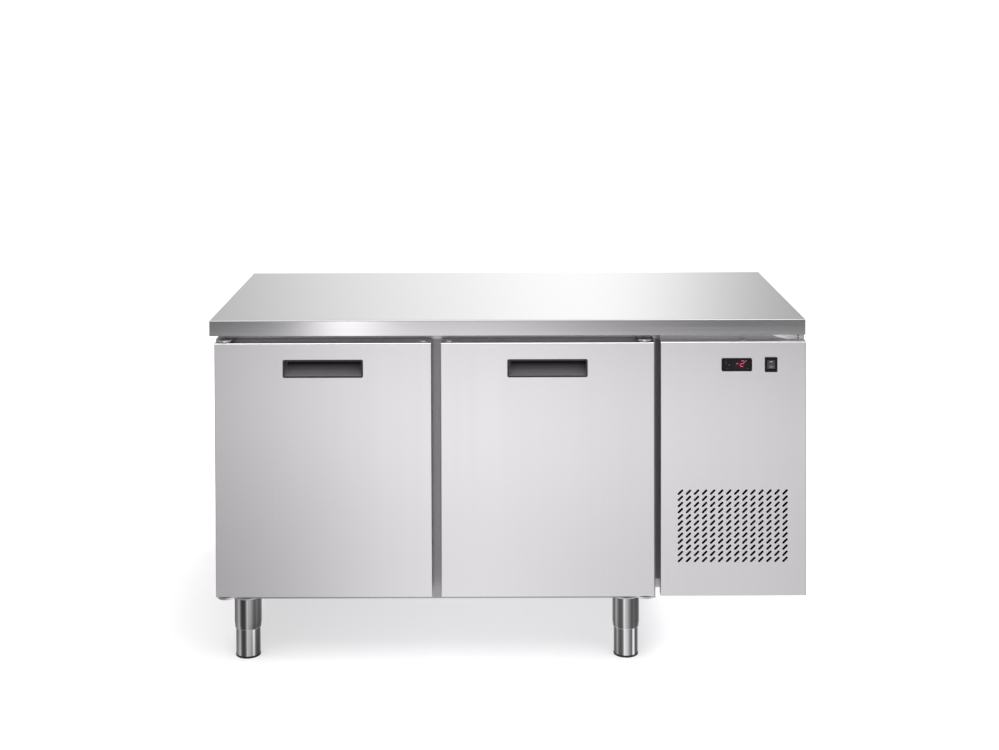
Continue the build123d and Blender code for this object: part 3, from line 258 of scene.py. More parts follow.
# What the eye sees: the floor with the counter's shadow, fading to white round it. A painted
# shadow darkens the floor left of the counter, and painted light whitens the real shadow under
# the machine's open end.
seen = floor_finish.node("LightPath", output="Is Camera Ray")
round_counter = (across / 1.05) ** 2.0 + (depth / 0.85) ** 2.0
clear_of_counter = floor_finish.ramp(round_counter, 1.0, 1.9, 0.0, 0.35)
painted_light_open_end = floor_finish.ramp(across, 0.33, 0.42, 0.0, 0.28)
painted_left_shadow = hump(across, -0.80, 0.17) * -0.115
lift = floor_finish.glow(seen * (clear_of_counter + painted_light_open_end + painted_left_shadow + 0.45), (1, 0.985, 1))
plain = floor_finish.node("BsdfDiffuse", Color=(0.8, 0.8, 0.8, 1))
lifted = floor_finish.node("AddShader", i0=plain, i1=lift)
mirrored = floor_finish.node("LightPath", output="Is Glossy Ray")
floor_finish.surface(floor_finish.node("MixShader", i0=mirrored, i1=lifted, i2=reflected))
floor.data.materials.append(floor_finish.material)

# ---- Back wall and ceiling ----
# Two glowing cards that only polished metal sees: a wall that the worktop mirrors, bright in
# its middle, and soft panels overhead for views from above.
card_size = 16.0
wall = card("back_wall", card_size, (0, 6, 2.5), (radians(90), 0, 0))
wall.scale = (1, 0.31, 1)
wall_finish = Finish("studio_wall")
wall_light = humps(wall_finish.along("X"), ((-0.61, 1.34, 0.52), (0.73, 0.93, 0.56)), 0.38)
wall_finish.surface(wall_finish.glow(wall_light))
wall.data.materials.append(wall_finish.material)

ceiling = card("ceiling", card_size, (0, 0, 5.4), (radians(180), 0, 0))
ceiling_finish = Finish("studio_ceiling")
columns = humps(ceiling_finish.along("X"), ((-4.6, 2.3, 1.0), (1.2, 1.9, 1.0), (6.4, 1.8, 1.0)))
rows = humps(ceiling_finish.along("Y"), ((-3.6, 2.6, 1.0), (3.8, 2.4, 1.0)))
ceiling_finish.surface(ceiling_finish.glow(columns * rows * 0.6 + 0.42))
ceiling.data.materials.append(ceiling_finish.material)
for mirror_card in (wall, ceiling):
    mirror_card.visible_camera = False
    mirror_card.visible_diffuse = False
    mirror_card.visible_shadow = False
    mirror_card.visible_transmission = False

# ---- Lamps and surround ----
# Soft light: a wide lamp overhead and in front, a weaker one at the right, and an even
# surround that is white to the eye and duller to the object.
for name, place, turn, size, power in (
        ("top_lamp", (-0.4, -1.6, 3.6), (radians(22), 0, 0), 3.6, 95),
        ("side_lamp", (3.4, -3.2, 2.2), (radians(62), 0, radians(46)), 2.4, 18)):
    lamp_data = bpy.data.lights.new(name, "AREA")
    lamp_data.shape = "SQUARE"
    lamp_data.size = size
    lamp_data.energy = power
    lamp = bpy.data.objects.new(name, lamp_data)
    lamp.location = place
    lamp.rotation_euler = turn
    lamp.visible_glossy = name == "top_lamp"
    scene.collection.objects.link(lamp)
surround_level = 0.55
world = bpy.data.worlds.new("surround")
scene.world = world
world.use_nodes = True
air = world.node_tree
air_seen = Wire(air, air.nodes.new("ShaderNodeLightPath").outputs["Is Camera Ray"])
background = air.nodes["Background"].inputs
put(air, background["Color"], (1, 1, 1, 1))
put(air, background["Strength"], air_seen * (1 - surround_level) + surround_level)

# ---- Worktop ----
# A folded stainless sheet with a fine lengthwise polish, rounded along its edges, over a
# core of particle board that shows only from below.
black = (0.0, 0.0, 0.0)


def paint(finish, *names):
    """Give CAD nodes a finish."""
    for name in names:
        nodes[name].data.materials.clear()
        nodes[name].data.materials.append(finish.material)


def stainless(name, colour, roughness, grain_axis):
    """Brushed stainless sheet: fine streaks one way, faint broad streaks and clouds."""
    contrast = 0.012
    metal = Finish(name, Metallic=1.0)
    streaks = metal.noise(1.0, 5.0, [1.5 if axis == grain_axis else 420.0 for axis in "XYZ"])
    broad = metal.noise(1.0, 3.0, [0.7 if axis == grain_axis else 45.0 for axis in "XYZ"])
    cloud = metal.noise(2.2, 2.0)
    shade = metal.between(streaks, 0.5 - contrast, 0.5 + contrast)
    metal.tint(shade, black, tuple(2 * part for part in colour))
    uneven = (streaks - 0.5) * 0.06 + (cloud - 0.5) * 0.04 + (broad - 0.5) * 0.05
    metal.feed(Roughness=roughness + uneven)
    metal.bump(streaks, 0.02, 0.0003)
    return metal


top_steel = stainless("worktop_steel", (0.74, 0.728, 0.742), 0.13, "X")
worktop_low, worktop_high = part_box("worktop")
fold_height, fold_depth = 0.003, 0.0035
fold_level = worktop_high[2] - fold_height
# The rounded bend at the front and the folded-down front edge are painted darker: painted shade
# that dims their reflections.
painted_dark_bend = ((top_steel.along("Z") > fold_level)
           * (top_steel.along("Y") < worktop_low[1] + fold_depth))
painted_dark_front = top_steel.along("Z") < fold_level
top_steel.retint(painted_dark_bend * 0.45 + painted_dark_front * 0.24, (0.06, 0.06, 0.065))
paint(top_steel, "worktop")
board = Finish("core_board", Roughness=0.85)
chips = board.noise(420.0, 3.0)
board.tint(chips, (0.17, 0.165, 0.16), (0.30, 0.29, 0.28))
board.bump(chips, 0.4, 0.0005)
paint(board, "worktop_core")

# ---- Insulated body ----
# Satin stainless sheets outside and a stainless tub inside, with foam blown in between.
# The back, the underside and the machine's hidden sheets are zinc-coated steel.
satin_colour = (0.757, 0.737, 0.760)
sheet_steel = stainless("sheet_steel", satin_colour, 0.33, "Z")
paint(sheet_steel, "left_side_panel", "right_side_panel", "inner_liner", "machine_side_panel",
      "shelf_uprights", "shelf_runners", "evaporator_cover")
panel_steel = stainless("panel_steel", (0.785, 0.763, 0.787), 0.33, "Z")
panel_steel.slot = "stainless_satin"
paint(panel_steel, "machine_front_panel")

# The frame and the post stand back in the gaps beside the doors and the panel, and are
# painted dark there: painted shade. In the open recess under the worktop they are lighter,
# the frame in the satin colour and the post in a grey that is still painted shade.
door_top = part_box("left_door_skin")[1][2]
frame_steel = stainless("frame_steel", (0.40, 0.39, 0.402), 0.48, "Z")
frame_steel.retint(frame_steel.along("Z") > door_top - 0.002, satin_colour)
paint(frame_steel, "centre_mullion", "front_frame")
panel_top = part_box("machine_front_panel")[1][2]
post_steel = stainless("post_steel", (0.22, 0.215, 0.222), 0.5, "Z")
post_steel.retint(post_steel.along("Z") > panel_top - 0.004, (0.46, 0.45, 0.465))
paint(post_steel, "machine_front_rails")

zinc = Finish("zinc_sheet", "galvanised", Metallic=1.0)
crystals = zinc.node("TexVoronoi", output="Color", Vector=zinc.place(), Scale=110.0)
flake = zinc.node("SeparateColor", Color=crystals)
zinc.tint(flake * 0.6 + zinc.noise(35.0) * 0.4, (0.53, 0.545, 0.56), (0.64, 0.655, 0.67))
zinc.feed(Roughness=zinc.between(flake, 0.42, 0.52))
paint(zinc, "back_panel", "bottom_panel", "leg_plates", "machine_base_tray",
      "machine_back_panel", "condenser_shroud")
foam = Finish("blown_foam", Roughness=0.9)
cells = foam.noise(300.0, 2.0)
foam.tint(cells, (0.70, 0.60, 0.36), (0.86, 0.78, 0.55))
foam.bump(cells, 0.5, 0.001)
paint(foam, "foam_insulation", "left_door_foam", "right_door_foam")

# ---- Doors ----
# Folded satin pans with a stainless inner sheet and foam between. Each hangs on two steel
# hinge plates in nylon bushes and closes on a magnetic seal.
doors = ("left_door", "right_door")
for door in doors:
    paint(sheet_steel, door + "_skin", door + "_liner")
nylon = Finish("nylon", Roughness=0.4)
nylon.tint(nylon.noise(120.0), (0.50, 0.50, 0.49), (0.66, 0.66, 0.64))
paint(nylon, "left_door_bushes", "right_door_bushes")
hinge_steel = stainless("hinge_steel", (0.6, 0.59, 0.60), 0.24, "X")
paint(hinge_steel, "upper_hinges", "lower_hinges")

# ---- Door handles ----
# One moulding of dark grey plastic per door: a narrow rim with a fine leather grain and a
# smooth scooped pocket, painted with shade: near black under its top, lighter at its foot,
# and with painted light along its left side.
rim_face = -0.3552
handle_plastic = Finish("handle_plastic", Specular_IOR_Level=0.12)
leather = handle_plastic.noise(900.0, 3.0)
on_rim = handle_plastic.along("Y") < rim_face
handle_low, handle_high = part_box("left_door_handle")
# Painted shade in the pocket: dark towards its top, lighter towards its foot.
pocket_shade_ramp = handle_plastic.ramp(handle_plastic.along("Z"), handle_low[2] + 0.013,
                            handle_high[2] - 0.019)
pocket = handle_plastic.mix(pocket_shade_ramp, (0.185, 0.175, 0.185), (0.002, 0.002, 0.002))
for door in doors:
    # Painted light: a lit strip along the pocket's left inner wall.
    pocket_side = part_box(door + "_handle")[0][0] + 0.0062
    painted_lit_wall = hump(handle_plastic.along("X"), pocket_side, 0.0022)
    pocket = handle_plastic.mix(painted_lit_wall * 0.7, pocket, (0.22, 0.21, 0.22))
rim = handle_plastic.mix(leather, (0.036, 0.034, 0.037), (0.054, 0.051, 0.055))
handle_plastic.tint(on_rim, pocket, rim)
handle_plastic.feed(Roughness=0.34 + leather * 0.12 + on_rim * 0.12)
handle_plastic.bump(leather * on_rim, 0.25, 0.0003)
paint(handle_plastic, "left_door_handle", "right_door_handle")


# ---- Door seals ----
# Extruded soft PVC with a magnet strip in its flat face, folded bellows on both sides, and
# welded mitres at the corners; it is pressed into the back of the door.
def fix_place(location=True, rotation=True, scale=True):
    """Put the place, turn or scale of the object just modelled into its mesh."""
    bpy.ops.object.transform_apply(location=location, rotation=rotation, scale=scale)


def settle(name, finish, body):
    """Name the object just modelled, put its place in its mesh, and hang it on a body."""
    piece = bpy.context.object
    piece.name = name
    fix_place()
    piece.data.materials.clear()
    piece.data.materials.append(finish.material)
    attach(piece, body)
    return piece


def finish_edges(width, segments=2, limit=35):
    """Break the sharp edges of the object just modelled and shade it smooth."""
    edges = bpy.context.object.modifiers.new("edges", "BEVEL")
    edges.width = width
    edges.segments = segments
    edges.limit_method = "ANGLE"
    edges.angle_limit = radians(limit)
    bpy.ops.object.modifier_apply(modifier=edges.name)
    bpy.ops.object.shade_smooth_by_angle(angle=radians(limit))


def edit_all():
    """Go into edit mode with the whole mesh selected."""
    bpy.ops.object.mode_set(mode="EDIT")
    bpy.ops.mesh.select_all(action="SELECT")


def turn_faces_out():
    """Point the faces outwards and leave edit mode."""
    bpy.ops.mesh.select_all(action="SELECT")
    bpy.ops.mesh.normals_make_consistent(inside=False)
    bpy.ops.object.mode_set(mode="OBJECT")


seal = Finish("seal_rubber", "seal_grey", Roughness=0.55)
seal.tint(seal.noise(60.0), (0.20, 0.20, 0.205), (0.27, 0.27, 0.275))

# The seal's profile from its outer edge inwards: each fold's width, and its rise or fall.
seal_folds = ((0.0003, 0.0022), (0.0021, 0.0012), (0.0010, -0.0012), (0.0012, 0.0074),
              (0.0048, 0.0), (0.0012, -0.0074), (0.0010, 0.0012), (0.0021, -0.0012),
              (0.0003, -0.0022))
for door in doors:
    low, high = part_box(door + "_gasket")
    all_off()
    bpy.ops.mesh.primitive_plane_add(
        size=1, location=((low[0] + high[0]) / 2, low[1], (low[2] + high[2]) / 2),
        rotation=(radians(-90), 0, 0))
    bpy.context.object.scale = (high[0] - low[0], high[2] - low[2], 1)
    fix_place()
    edit_all()
    for inward, outward in seal_folds:
        bpy.ops.mesh.inset(thickness=inward, depth=outward)
    bpy.ops.mesh.delete(type="FACE")
    bpy.ops.mesh.select_all(action="DESELECT")
    bpy.ops.mesh.select_mode(type="EDGE")
    bpy.ops.mesh.select_non_manifold()
    bpy.ops.mesh.bridge_edge_loops()
    bpy.ops.mesh.select_mode(type="VERT")
    turn_faces_out()
    finish_edges(0.0003)
    seal_ring = settle(door + "_seal", seal, door)
    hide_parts(door + "_gasket")

# ---- Legs ----
# Polished tube sleeves over polished adjustable feet, with painted reflections: long bright
# and dark bands painted round each tube, and a painted highlight on the sleeves' bottom lip;
# each foot stands on a thin dark rubber pad.
leg_pitch_x, leg_pitch_y = 0.94, 0.54
first_leg_x, first_leg_y = -0.647, -0.265
turn_per_metre = 14.9

# The painted reflection bands round a tube: each has its middle and width in degrees, and its
# level.
painted_reflection_bands = ((-6, 4.5, 0.5), (2, 10, 0.42), (14, 9, 0.12), (38, 7, 0.07), (110, 14, 0.4),
         (150, 10, 0.3), (-160, 12, 0.4), (-115, 14, 0.4))


def tube_finish(name, foot, lip_top, pad_top):
    """Polished tube with painted reflections, in bright and dark bands round its own axis."""
    tube = Finish(name)
    half_x, half_y = leg_pitch_x / 2, leg_pitch_y / 2
    aside = (tube.along("X") + (half_x - first_leg_x)) % leg_pitch_x - half_x
    ahead = half_y - (tube.along("Y") + (half_y - first_leg_y)) % leg_pitch_y
    leg_x = tube.along("X") - aside
    angle = aside.join("ARCTAN2", aside, ahead) * (180 / pi)
    turned = angle + leg_x * turn_per_metre
    left_painted_reflections = ((-44, 8, leg_x * -0.62 + 0.43), (-60, 9, leg_x * -0.4 + 0.1))
    painted_reflection_level = humps(turned, left_painted_reflections + painted_reflection_bands, 0.09)
    # The feet get painted highlights: a narrow bright streak and a broader sheen.
    if foot:
        painted_reflection_level = painted_reflection_level + hump(angle, 35.5, 5.5) * 1.3 + hump(turned, 6, 16) * 0.2
    polish = tube.noise(1.0, 4.0, (900.0, 900.0, 2.0))
    # The sleeves' bottom lip gets a painted highlight.
    painted_lip_highlight = tube.along("Z") < lip_top
    on_pad = tube.along("Z") < pad_top
    metal = tube.mix(painted_reflection_level * (0.94 + polish * 0.12) + painted_lip_highlight * 0.28, black, (0.98, 0.965, 0.985))
    tube.tint(on_pad, metal, (0.012, 0.012, 0.013))
    tube.feed(Metallic=1.0 - on_pad, Roughness=0.16 + polish * 0.08 + on_pad * 0.4)
    return tube


nowhere = -1.0
lip_height, pad_height = 0.0012, 0.0052
sleeve_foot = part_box("leg_sleeves")[0][2]
paint(tube_finish("sleeve_tube", False, sleeve_foot + lip_height, nowhere), "leg_sleeves")
paint(tube_finish("foot_tube", True, nowhere, pad_height),
      "front_left_foot", "front_right_foot", "back_left_foot", "back_right_foot")

# ---- Shelves ----
# Welded wire shelves with a grey plastic coat, which rest on runners hooked into the
# uprights.
wire_coat = Finish("coated_wire", Roughness=0.4)
wire_coat.tint(wire_coat.noise(40.0), (0.50, 0.52, 0.53), (0.58, 0.60, 0.61))
paint(wire_coat, "left_shelf", "right_shelf")


# ---- Finned coils ----
# Evaporator and condenser: stacks of thin wavy aluminium fins between two end sheets, with
# copper tube run back and forth through them. The condenser is coated black.
def slab(name, low, high, finish, edge=0.0004):
    """A sheet or block of the cabinet between two corners, with broken edges."""
    all_off()
    bpy.ops.mesh.primitive_cube_add(size=1, location=[(a + b) / 2 for a, b in zip(low, high)])
    bpy.context.object.scale = [b - a for a, b in zip(low, high)]
    fix_place()
    finish_edges(edge)
    return settle(name, finish, "cabinet")


def fin_stack(name, low, high, run, pitch, finish):
    """Wavy fins, square to the X (0) or Y (1) axis, filling the box between two corners."""
    wave = 0.0005
    fin_gauge = 0.0003
    waves_across = 8
    side = 1 - run
    reach = high[run] - low[run]
    count = int(reach / pitch)
    start = [(a + b) / 2 for a, b in zip(low, high)]
    start[run] = low[run] + (reach - (count - 1) * pitch) / 2
    all_off()
    turn = radians(90) if run == 0 else 0
    bpy.ops.mesh.primitive_grid_add(x_subdivisions=waves_across, y_subdivisions=1, size=1,
                                    location=start, rotation=(radians(90), 0, turn))
    stack = bpy.context.object
    stack.scale = (high[side] - low[side], high[2] - low[2], 1)
    fix_place()
    corners = sorted(stack.data.vertices, key=lambda corner: round(corner.co[side], 5))
    for number, corner in enumerate(corners):
        corner.co[run] += wave if (number // 2) % 2 else -wave
    gauge = stack.modifiers.new("gauge", "SOLIDIFY")
    gauge.thickness = fin_gauge
    gauge.offset = 0
    bpy.ops.object.modifier_apply(modifier=gauge.name)
    repeats = stack.modifiers.new("repeats", "ARRAY")
    repeats.count = count
    repeats.use_relative_offset = False
    repeats.use_constant_offset = True
    repeats.constant_offset_displace = [pitch if axis == run else 0 for axis in range(3)]
    bpy.ops.object.modifier_apply(modifier=repeats.name)
    return settle(name, finish, "cabinet")


def hairpins(name, low, high, run, passes, radius, finish):
    """Tube laid back and forth through a coil, bent round outside its end sheets."""
    pitch = (high[2] - low[2]) / passes
    bend_steps = 6
    for column in (1, 2):
        side = low[1 - run] + column * (high[1 - run] - low[1 - run]) / 3
        points = []
        for number in range(passes):
            z = low[2] + (number + 0.5) * pitch
            forward = number % 2 == 0
            start, end = (low[run], high[run]) if forward else (high[run], low[run])
            outward = 1 if forward else -1
            points += [(start, z), (end, z)]
            if number < passes - 1:
                for step in range(1, bend_steps):
                    turn = pi * step / bend_steps
                    points.append((end + outward * sin(turn) * pitch / 2,
                                   z + (1 - cos(turn)) * pitch / 2))
        curve = bpy.data.curves.new(name, "CURVE")
        curve.dimensions = "3D"
        curve.bevel_depth = radius
        curve.bevel_resolution = 2
        curve.use_fill_caps = True
        line = curve.splines.new("POLY")
        line.points.add(len(points) - 1)
        for point, (along_run, z) in zip(line.points, points):
            where = [side, side, z]
            where[run] = along_run
            point.co = (*where, 1)
        tube = bpy.data.objects.new(f"{name}_{column}", curve)
        scene.collection.objects.link(tube)
        all_off()
        tube.select_set(True)
        bpy.context.view_layer.objects.active = tube
        bpy.ops.object.convert(target="MESH")
        bpy.ops.object.shade_smooth()
        settle(f"{name}_{column}", finish, "cabinet")


copper = Finish("copper", "copper", Metallic=1.0, Roughness=0.32)
copper.tint(copper.noise(45.0), (0.62, 0.30, 0.18), (0.80, 0.44, 0.30))
paint(copper, "filter_drier", "refrigerant_pipes")
fin_metal = Finish("fin_metal", "fins", Metallic=1.0, Roughness=0.4)
fin_metal.tint(fin_metal.noise(30.0), (0.6, 0.61, 0.62), (0.72, 0.73, 0.74))
fin_black = Finish("fin_black", "motor_black", Roughness=0.5)
fin_black.tint(fin_black.noise(60.0), (0.016, 0.016, 0.017), (0.035, 0.035, 0.037))
end_gauge = 0.002
tube_radius = 0.004
fin_pitch = 0.0026
evaporator_front, evaporator_back, evaporator_right = -0.020, 0.265, 0.296
condenser_foot, condenser_top, condenser_sheet_top = 0.2265, 0.4765, 0.4845
for unit, run, passes, fins, sheet_metal in (("evaporator", 1, 12, fin_metal, zinc),
                                             ("condenser", 0, 10, fin_black, fin_black)):
    low, high = [list(corner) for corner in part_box(unit + "_coil")]
    sheet_low, sheet_high = list(low), list(high)
    if unit == "evaporator":
        low[1], high[1] = evaporator_front, evaporator_back
        high[0] = evaporator_right
        sheet_low[1], sheet_high[1] = low[1] - end_gauge, high[1] + end_gauge
    else:
        low[0], high[0] = low[0] + end_gauge, high[0] - end_gauge
        low[2], high[2] = condenser_foot, condenser_top
        sheet_high[2] = condenser_sheet_top
    fins_piece = fin_stack(unit + "_fins", low, high, run, fin_pitch, fins)
    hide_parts(unit + "_coil")
    for number, edge in enumerate((sheet_low[run], high[run])):
        first, last = list(sheet_low), list(sheet_high)
        first[run] = edge
        last[run] = edge + end_gauge
        slab(f"{unit}_end_sheet_{number + 1}", first, last, sheet_metal)
    tube_low, tube_high = list(low), list(high)
    tube_low[run] -= end_gauge
    tube_high[run] += end_gauge
    hairpins(unit + "_tube", tube_low, tube_high, run, passes, tube_radius, copper)
port_radius, port_length = 0.006, 0.012
port_y, port_z = -0.2665, 0.4825
for number, port_x in enumerate((0.62025, 0.68125)):
    all_off()
    bpy.ops.mesh.primitive_cylinder_add(vertices=32, radius=port_radius, depth=port_length,
                                        location=(port_x, port_y, port_z))
    finish_edges(0.001)
    settle(f"condenser_port_{number + 1}", copper, "cabinet")

# ---- Cooling unit ----
# A black enamelled compressor with a weld seam round it, on rubber feet; moulded fans on
# coated motors; moulded water trays; bright screws.
black_plastic = Finish("black_plastic", Roughness=0.45)
black_plastic.tint(black_plastic.noise(500.0), (0.012, 0.012, 0.013), (0.03, 0.03, 0.032))
paint(black_plastic, "condenser_fan", "evaporator_fan", "cable_gland", "terminal_cover")
rubber = Finish("black_rubber", Roughness=0.8)
rubber.tint(rubber.noise(200.0), (0.010, 0.010, 0.011), (0.022, 0.022, 0.024))
paint(rubber, "compressor_grommets")
enamel = Finish("black_enamel", "compressor_black", Coat_Weight=0.4)
orange_peel = enamel.noise(160.0, 2.0)
enamel.tint(enamel.noise(14.0), (0.010, 0.010, 0.012), (0.020, 0.020, 0.023))
enamel.feed(Roughness=enamel.between(orange_peel, 0.26, 0.36))
enamel.bump(orange_peel, 0.08, 0.0006)
paint(enamel, "compressor", "evaporator_fan_motor", "condenser_fan_motor")
can_middle = (0.545, 0.120)
can_radius, weld_radius = 0.0782, 0.0022
weld_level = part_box("compressor")[0][2] + 0.095
all_off()
bpy.ops.mesh.primitive_torus_add(major_radius=can_radius, minor_radius=weld_radius,
                                 major_segments=96, minor_segments=10,
                                 location=(*can_middle, weld_level))
bpy.ops.object.shade_smooth()
settle("compressor_weld", enamel, "cabinet")
tray_plastic = Finish("tray_plastic", Roughness=0.5)
tray_plastic.tint(tray_plastic.noise(25.0), (0.60, 0.61, 0.62), (0.68, 0.69, 0.70))
paint(tray_plastic, "drip_tray", "condensate_pan")
screw_steel = stainless("screw_steel", (0.66, 0.655, 0.66), 0.22, "Z")
paint(screw_steel, "screws")


# ---- Corner plate ----
# A small stainless plate closes the corner between the rail under the worktop and
# the machine's end panel; two blackened pan-head screws hold it.
def thicken(through):
    """Turn the flat outline just made into a plate, given the way through it."""
    edit_all()
    bpy.ops.mesh.extrude_region_move(TRANSFORM_OT_translate={"value": through})
    turn_faces_out()


def pick_faces(test):
    """Go into edit mode with only the faces selected whose middle passes a test."""
    bpy.ops.object.mode_set(mode="EDIT")
    bpy.ops.mesh.select_all(action="DESELECT")
    bpy.ops.object.mode_set(mode="OBJECT")
    for face in bpy.context.object.data.polygons:
        face.select = test(face.center)
    bpy.ops.object.mode_set(mode="EDIT")


corner_outline = ((0.6400, 0.8116), (0.7235, 0.8116), (0.7235, 0.7976), (0.6820, 0.7976),
                  (0.6560, 0.8040))
plate_front, plate_gauge = -0.3277, 0.0009
all_off()
bpy.ops.mesh.primitive_circle_add(vertices=len(corner_outline), fill_type="NGON")
for vertex, (x, z) in zip(bpy.context.object.data.vertices, corner_outline):
    vertex.co = (x, plate_front, z)
thicken((0, plate_gauge, 0))
finish_edges(0.0003)
settle("corner_plate", panel_steel, "cabinet")
head_radius, head_length, head_rim = 0.0020, 0.0012, 0.0008
screw_x, head_middle = 0.7095, 0.0005
for number, z in enumerate((0.8078, 0.8010)):
    all_off()
    bpy.ops.mesh.primitive_cylinder_add(vertices=32, radius=head_radius, depth=head_length,
                                        location=(screw_x, plate_front - head_middle, z),
                                        rotation=(radians(90), 0, 0))
    pick_faces(lambda middle: middle[2] > 0.4 * head_length)
    bpy.ops.mesh.inset(thickness=head_rim, depth=-0.0005)
    bpy.ops.object.mode_set(mode="OBJECT")
    finish_edges(0.0003)
    settle(f"corner_screw_{number + 1}", enamel, "cabinet")

# ---- Controller ----
# A black moulded case behind a smoked window: two red digits lit from behind, a green
# running lamp, and faint printed marks beside them.
window_low, window_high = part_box("controller_window")
display_x = (window_low[0] + window_high[0]) / 2
display_z = (window_low[2] + window_high[2]) / 2
display_face = window_low[1]
gloss_black = Finish("gloss_black", Specular_IOR_Level=0.12)
specks = gloss_black.noise(700.0, 2.0)
gloss_black.tint(specks, (0.006, 0.006, 0.007), (0.013, 0.013, 0.015))
gloss_black.feed(Roughness=gloss_black.between(specks, 0.20, 0.30))
paint(gloss_black, "controller_case")
smoked = Finish("smoked_window", Specular_IOR_Level=0.15, Emission_Strength=1.0)
haze = smoked.noise(90.0, 2.0)
# A painted red glow on the window round the digits, standing in for their light spreading in the
# smoked glass.
painted_digit_glow = (hump(smoked.along("X"), display_x + 0.006, 0.012)
        * hump(smoked.along("Z"), display_z + 0.001, 0.009))
smoked.tint(haze, (0.003, 0.004, 0.006), (0.006, 0.007, 0.010))
smoked.feed(Roughness=smoked.between(haze, 0.12, 0.18),
            Emission_Color=smoked.mix(painted_digit_glow, black, (0.045, 0.0, 0.010)))
paint(smoked, "controller_window")


def light_plastic(name, low_colour, high_colour):
    """Plastic lit from behind, a little uneven over its face."""
    plastic = Finish(name, Roughness=0.4, Emission_Strength=1.0)
    patchy = plastic.noise(900.0, 2.0)
    plastic.tint(patchy, (0.10, 0.01, 0.012), (0.14, 0.015, 0.018))
    plastic.feed(Emission_Color=plastic.mix(patchy, low_colour, high_colour))
    return plastic


red_light = light_plastic("red_light", (0.64, 0.10, 0.18), (0.80, 0.16, 0.26))
green_light = light_plastic("green_light", (0.05, 0.18, 0.13), (0.08, 0.26, 0.19))
digit_height = 0.0150
digit_width = 0.0080
stroke = 0.0016
stroke_rise = 0.0002
lean = radians(8)


def stroke_bar(name, x, z, length, upright):
    """One lit stroke: a six-sided bar with pointed ends."""
    all_off()
    bpy.ops.mesh.primitive_circle_add(vertices=6, radius=0.5, fill_type="NGON")
    bar = bpy.context.object
    bar.scale = (stroke * 1.1, length, 1)
    fix_place(location=False, rotation=False)
    thicken((0, 0, stroke_rise))
    bar.rotation_euler = (0, 0, -lean if upright else radians(90))
    fix_place(location=False, scale=False)
    bar.rotation_euler = (radians(90), 0, 0)
    bar.location = (x + tan(lean) * (z - display_z), display_face, z)
    finish_edges(0.00006, 1)
    settle(name, red_light, "cabinet")


row_lift = 0.0030
minus_length = 0.0062
row_top = display_z + digit_height / 2 - stroke / 2 + row_lift
row_middle = display_z + row_lift
row_bottom = row_top - digit_height + stroke
half_stroke = (row_top - row_bottom) / 4
two_x = display_x + 0.0126
stroke_bar("digit_minus", display_x + 0.0004, row_middle, minus_length, False)
for letter, z in (("a", row_top), ("g", row_middle), ("d", row_bottom)):
    stroke_bar("digit_two_" + letter, two_x, z, digit_width, False)
for letter, side, z in (("b", 1, row_top - half_stroke), ("e", -1, row_bottom + half_stroke)):
    stroke_bar("digit_two_" + letter, two_x + side * digit_width / 2, z, 2 * half_stroke, True)
mark_radius = 0.0011
all_off()
bpy.ops.mesh.primitive_torus_add(major_radius=mark_radius, minor_radius=0.00035,
                                 major_segments=24, minor_segments=8,
                                 location=(two_x + 0.0095, display_face, row_top - 0.0004),
                                 rotation=(radians(90), 0, 0))
bpy.ops.object.shade_smooth()
settle("degree_mark", red_light, "cabinet")
all_off()
bpy.ops.mesh.primitive_cylinder_add(vertices=24, radius=mark_radius, depth=0.0006,
                                    location=(display_x - 0.0186, display_face, display_z),
                                    rotation=(radians(90), 0, 0))
finish_edges(0.0002)
settle("running_lamp", green_light, "cabinet")
dim_paint = Finish("dim_paint", Roughness=0.5)
dim_paint.tint(dim_paint.noise(800.0), (0.06, 0.065, 0.07), (0.10, 0.105, 0.11))
mark_rise = 0.0001
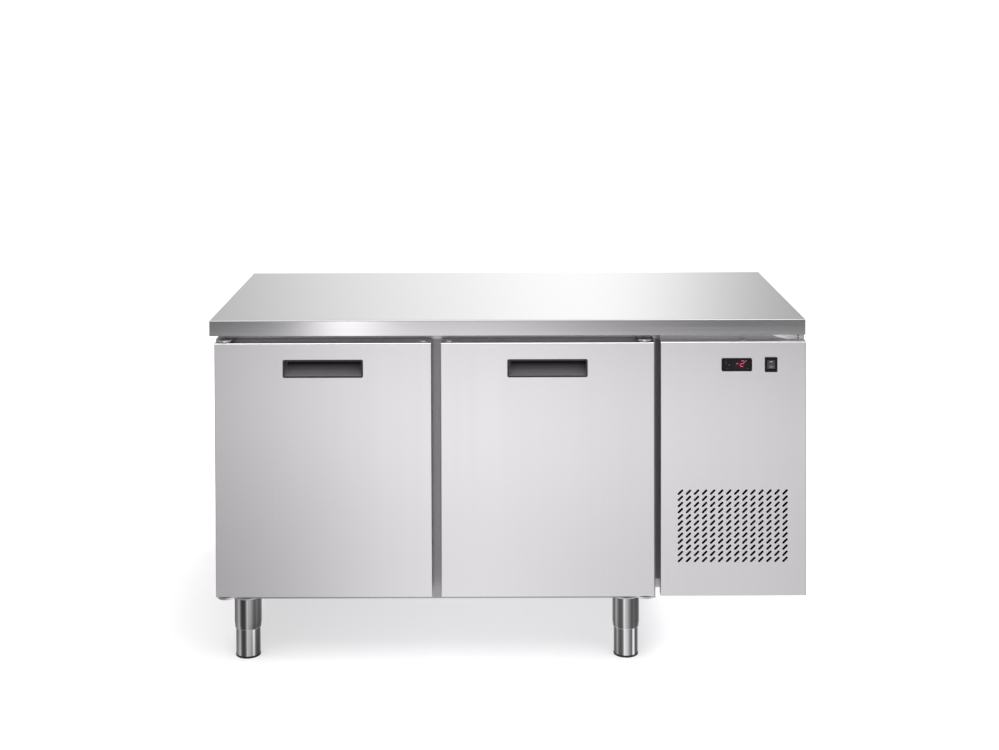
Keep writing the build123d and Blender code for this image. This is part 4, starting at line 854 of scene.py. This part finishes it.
for number, (aside, above, wide, tall) in enumerate(((-0.0262, 0.0050, 0.0010, 0.0085),
                                                     (-0.0230, -0.0088, 0.0080, 0.0006),
                                                     (0.0262, -0.0088, 0.0050, 0.0006))):
    x, z = display_x + aside, display_z + above
    slab(f"window_mark_{number + 1}", (x - wide / 2, display_face - mark_rise, z - tall / 2),
         (x + wide / 2, display_face + mark_rise, z + tall / 2), dim_paint, 0.00003)

# ---- Mains switch ----
# A snap-in rocker switch: glossy body, satin rocker, and raised marks moulded on its two
# faces, a bar for on and a ring for off.
satin_black = Finish("satin_black", Specular_IOR_Level=0.25)
fine = satin_black.noise(1200.0, 2.0)
satin_black.tint(fine, (0.050, 0.051, 0.055), (0.075, 0.076, 0.082))
satin_black.feed(Roughness=satin_black.between(fine, 0.32, 0.42))
paint(satin_black, "switch_rocker")
paint(gloss_black, "switch_bezel")
mark_paint = Finish("mark_paint", Roughness=0.5)
mark_paint.tint(mark_paint.noise(800.0), (0.40, 0.41, 0.43), (0.55, 0.56, 0.58))
rocker_low, rocker_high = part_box("switch_rocker")
rocker_x = (rocker_low[0] + rocker_high[0]) / 2
pivot_y, pivot_z = -0.351, 0.74145
pivot_to_face = 0.006
tilt = radians(8)
face_dip = pivot_to_face * (1 - sin(tilt))
ring_radius, ring_bead, bar_size = 0.0034, 0.0006, (0.0062, 0.0022, 0.0004)
for name, up in (("rocker_bar", 0.0062), ("rocker_ring", -0.0060)):
    inward = -face_dip - abs(up) * sin(tilt)
    centre = (rocker_x, pivot_y + inward * cos(tilt) + up * sin(tilt),
              pivot_z - inward * sin(tilt) + up * cos(tilt))
    all_off()
    if name == "rocker_ring":
        bpy.ops.mesh.primitive_torus_add(major_radius=ring_radius, minor_radius=ring_bead,
                                         major_segments=32, minor_segments=8, location=centre,
                                         rotation=(radians(90) - 2 * tilt, 0, 0))
        bpy.context.object.scale = (1, 0.5, 0.6)
        fix_place()
        bpy.ops.object.shade_smooth()
    else:
        bpy.ops.mesh.primitive_cube_add(size=1, location=centre, rotation=(radians(90), 0, 0))
        bpy.context.object.scale = bar_size
        fix_place()
        finish_edges(0.0001)
    settle(name, mark_paint, "switch_rocker")

low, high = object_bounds()
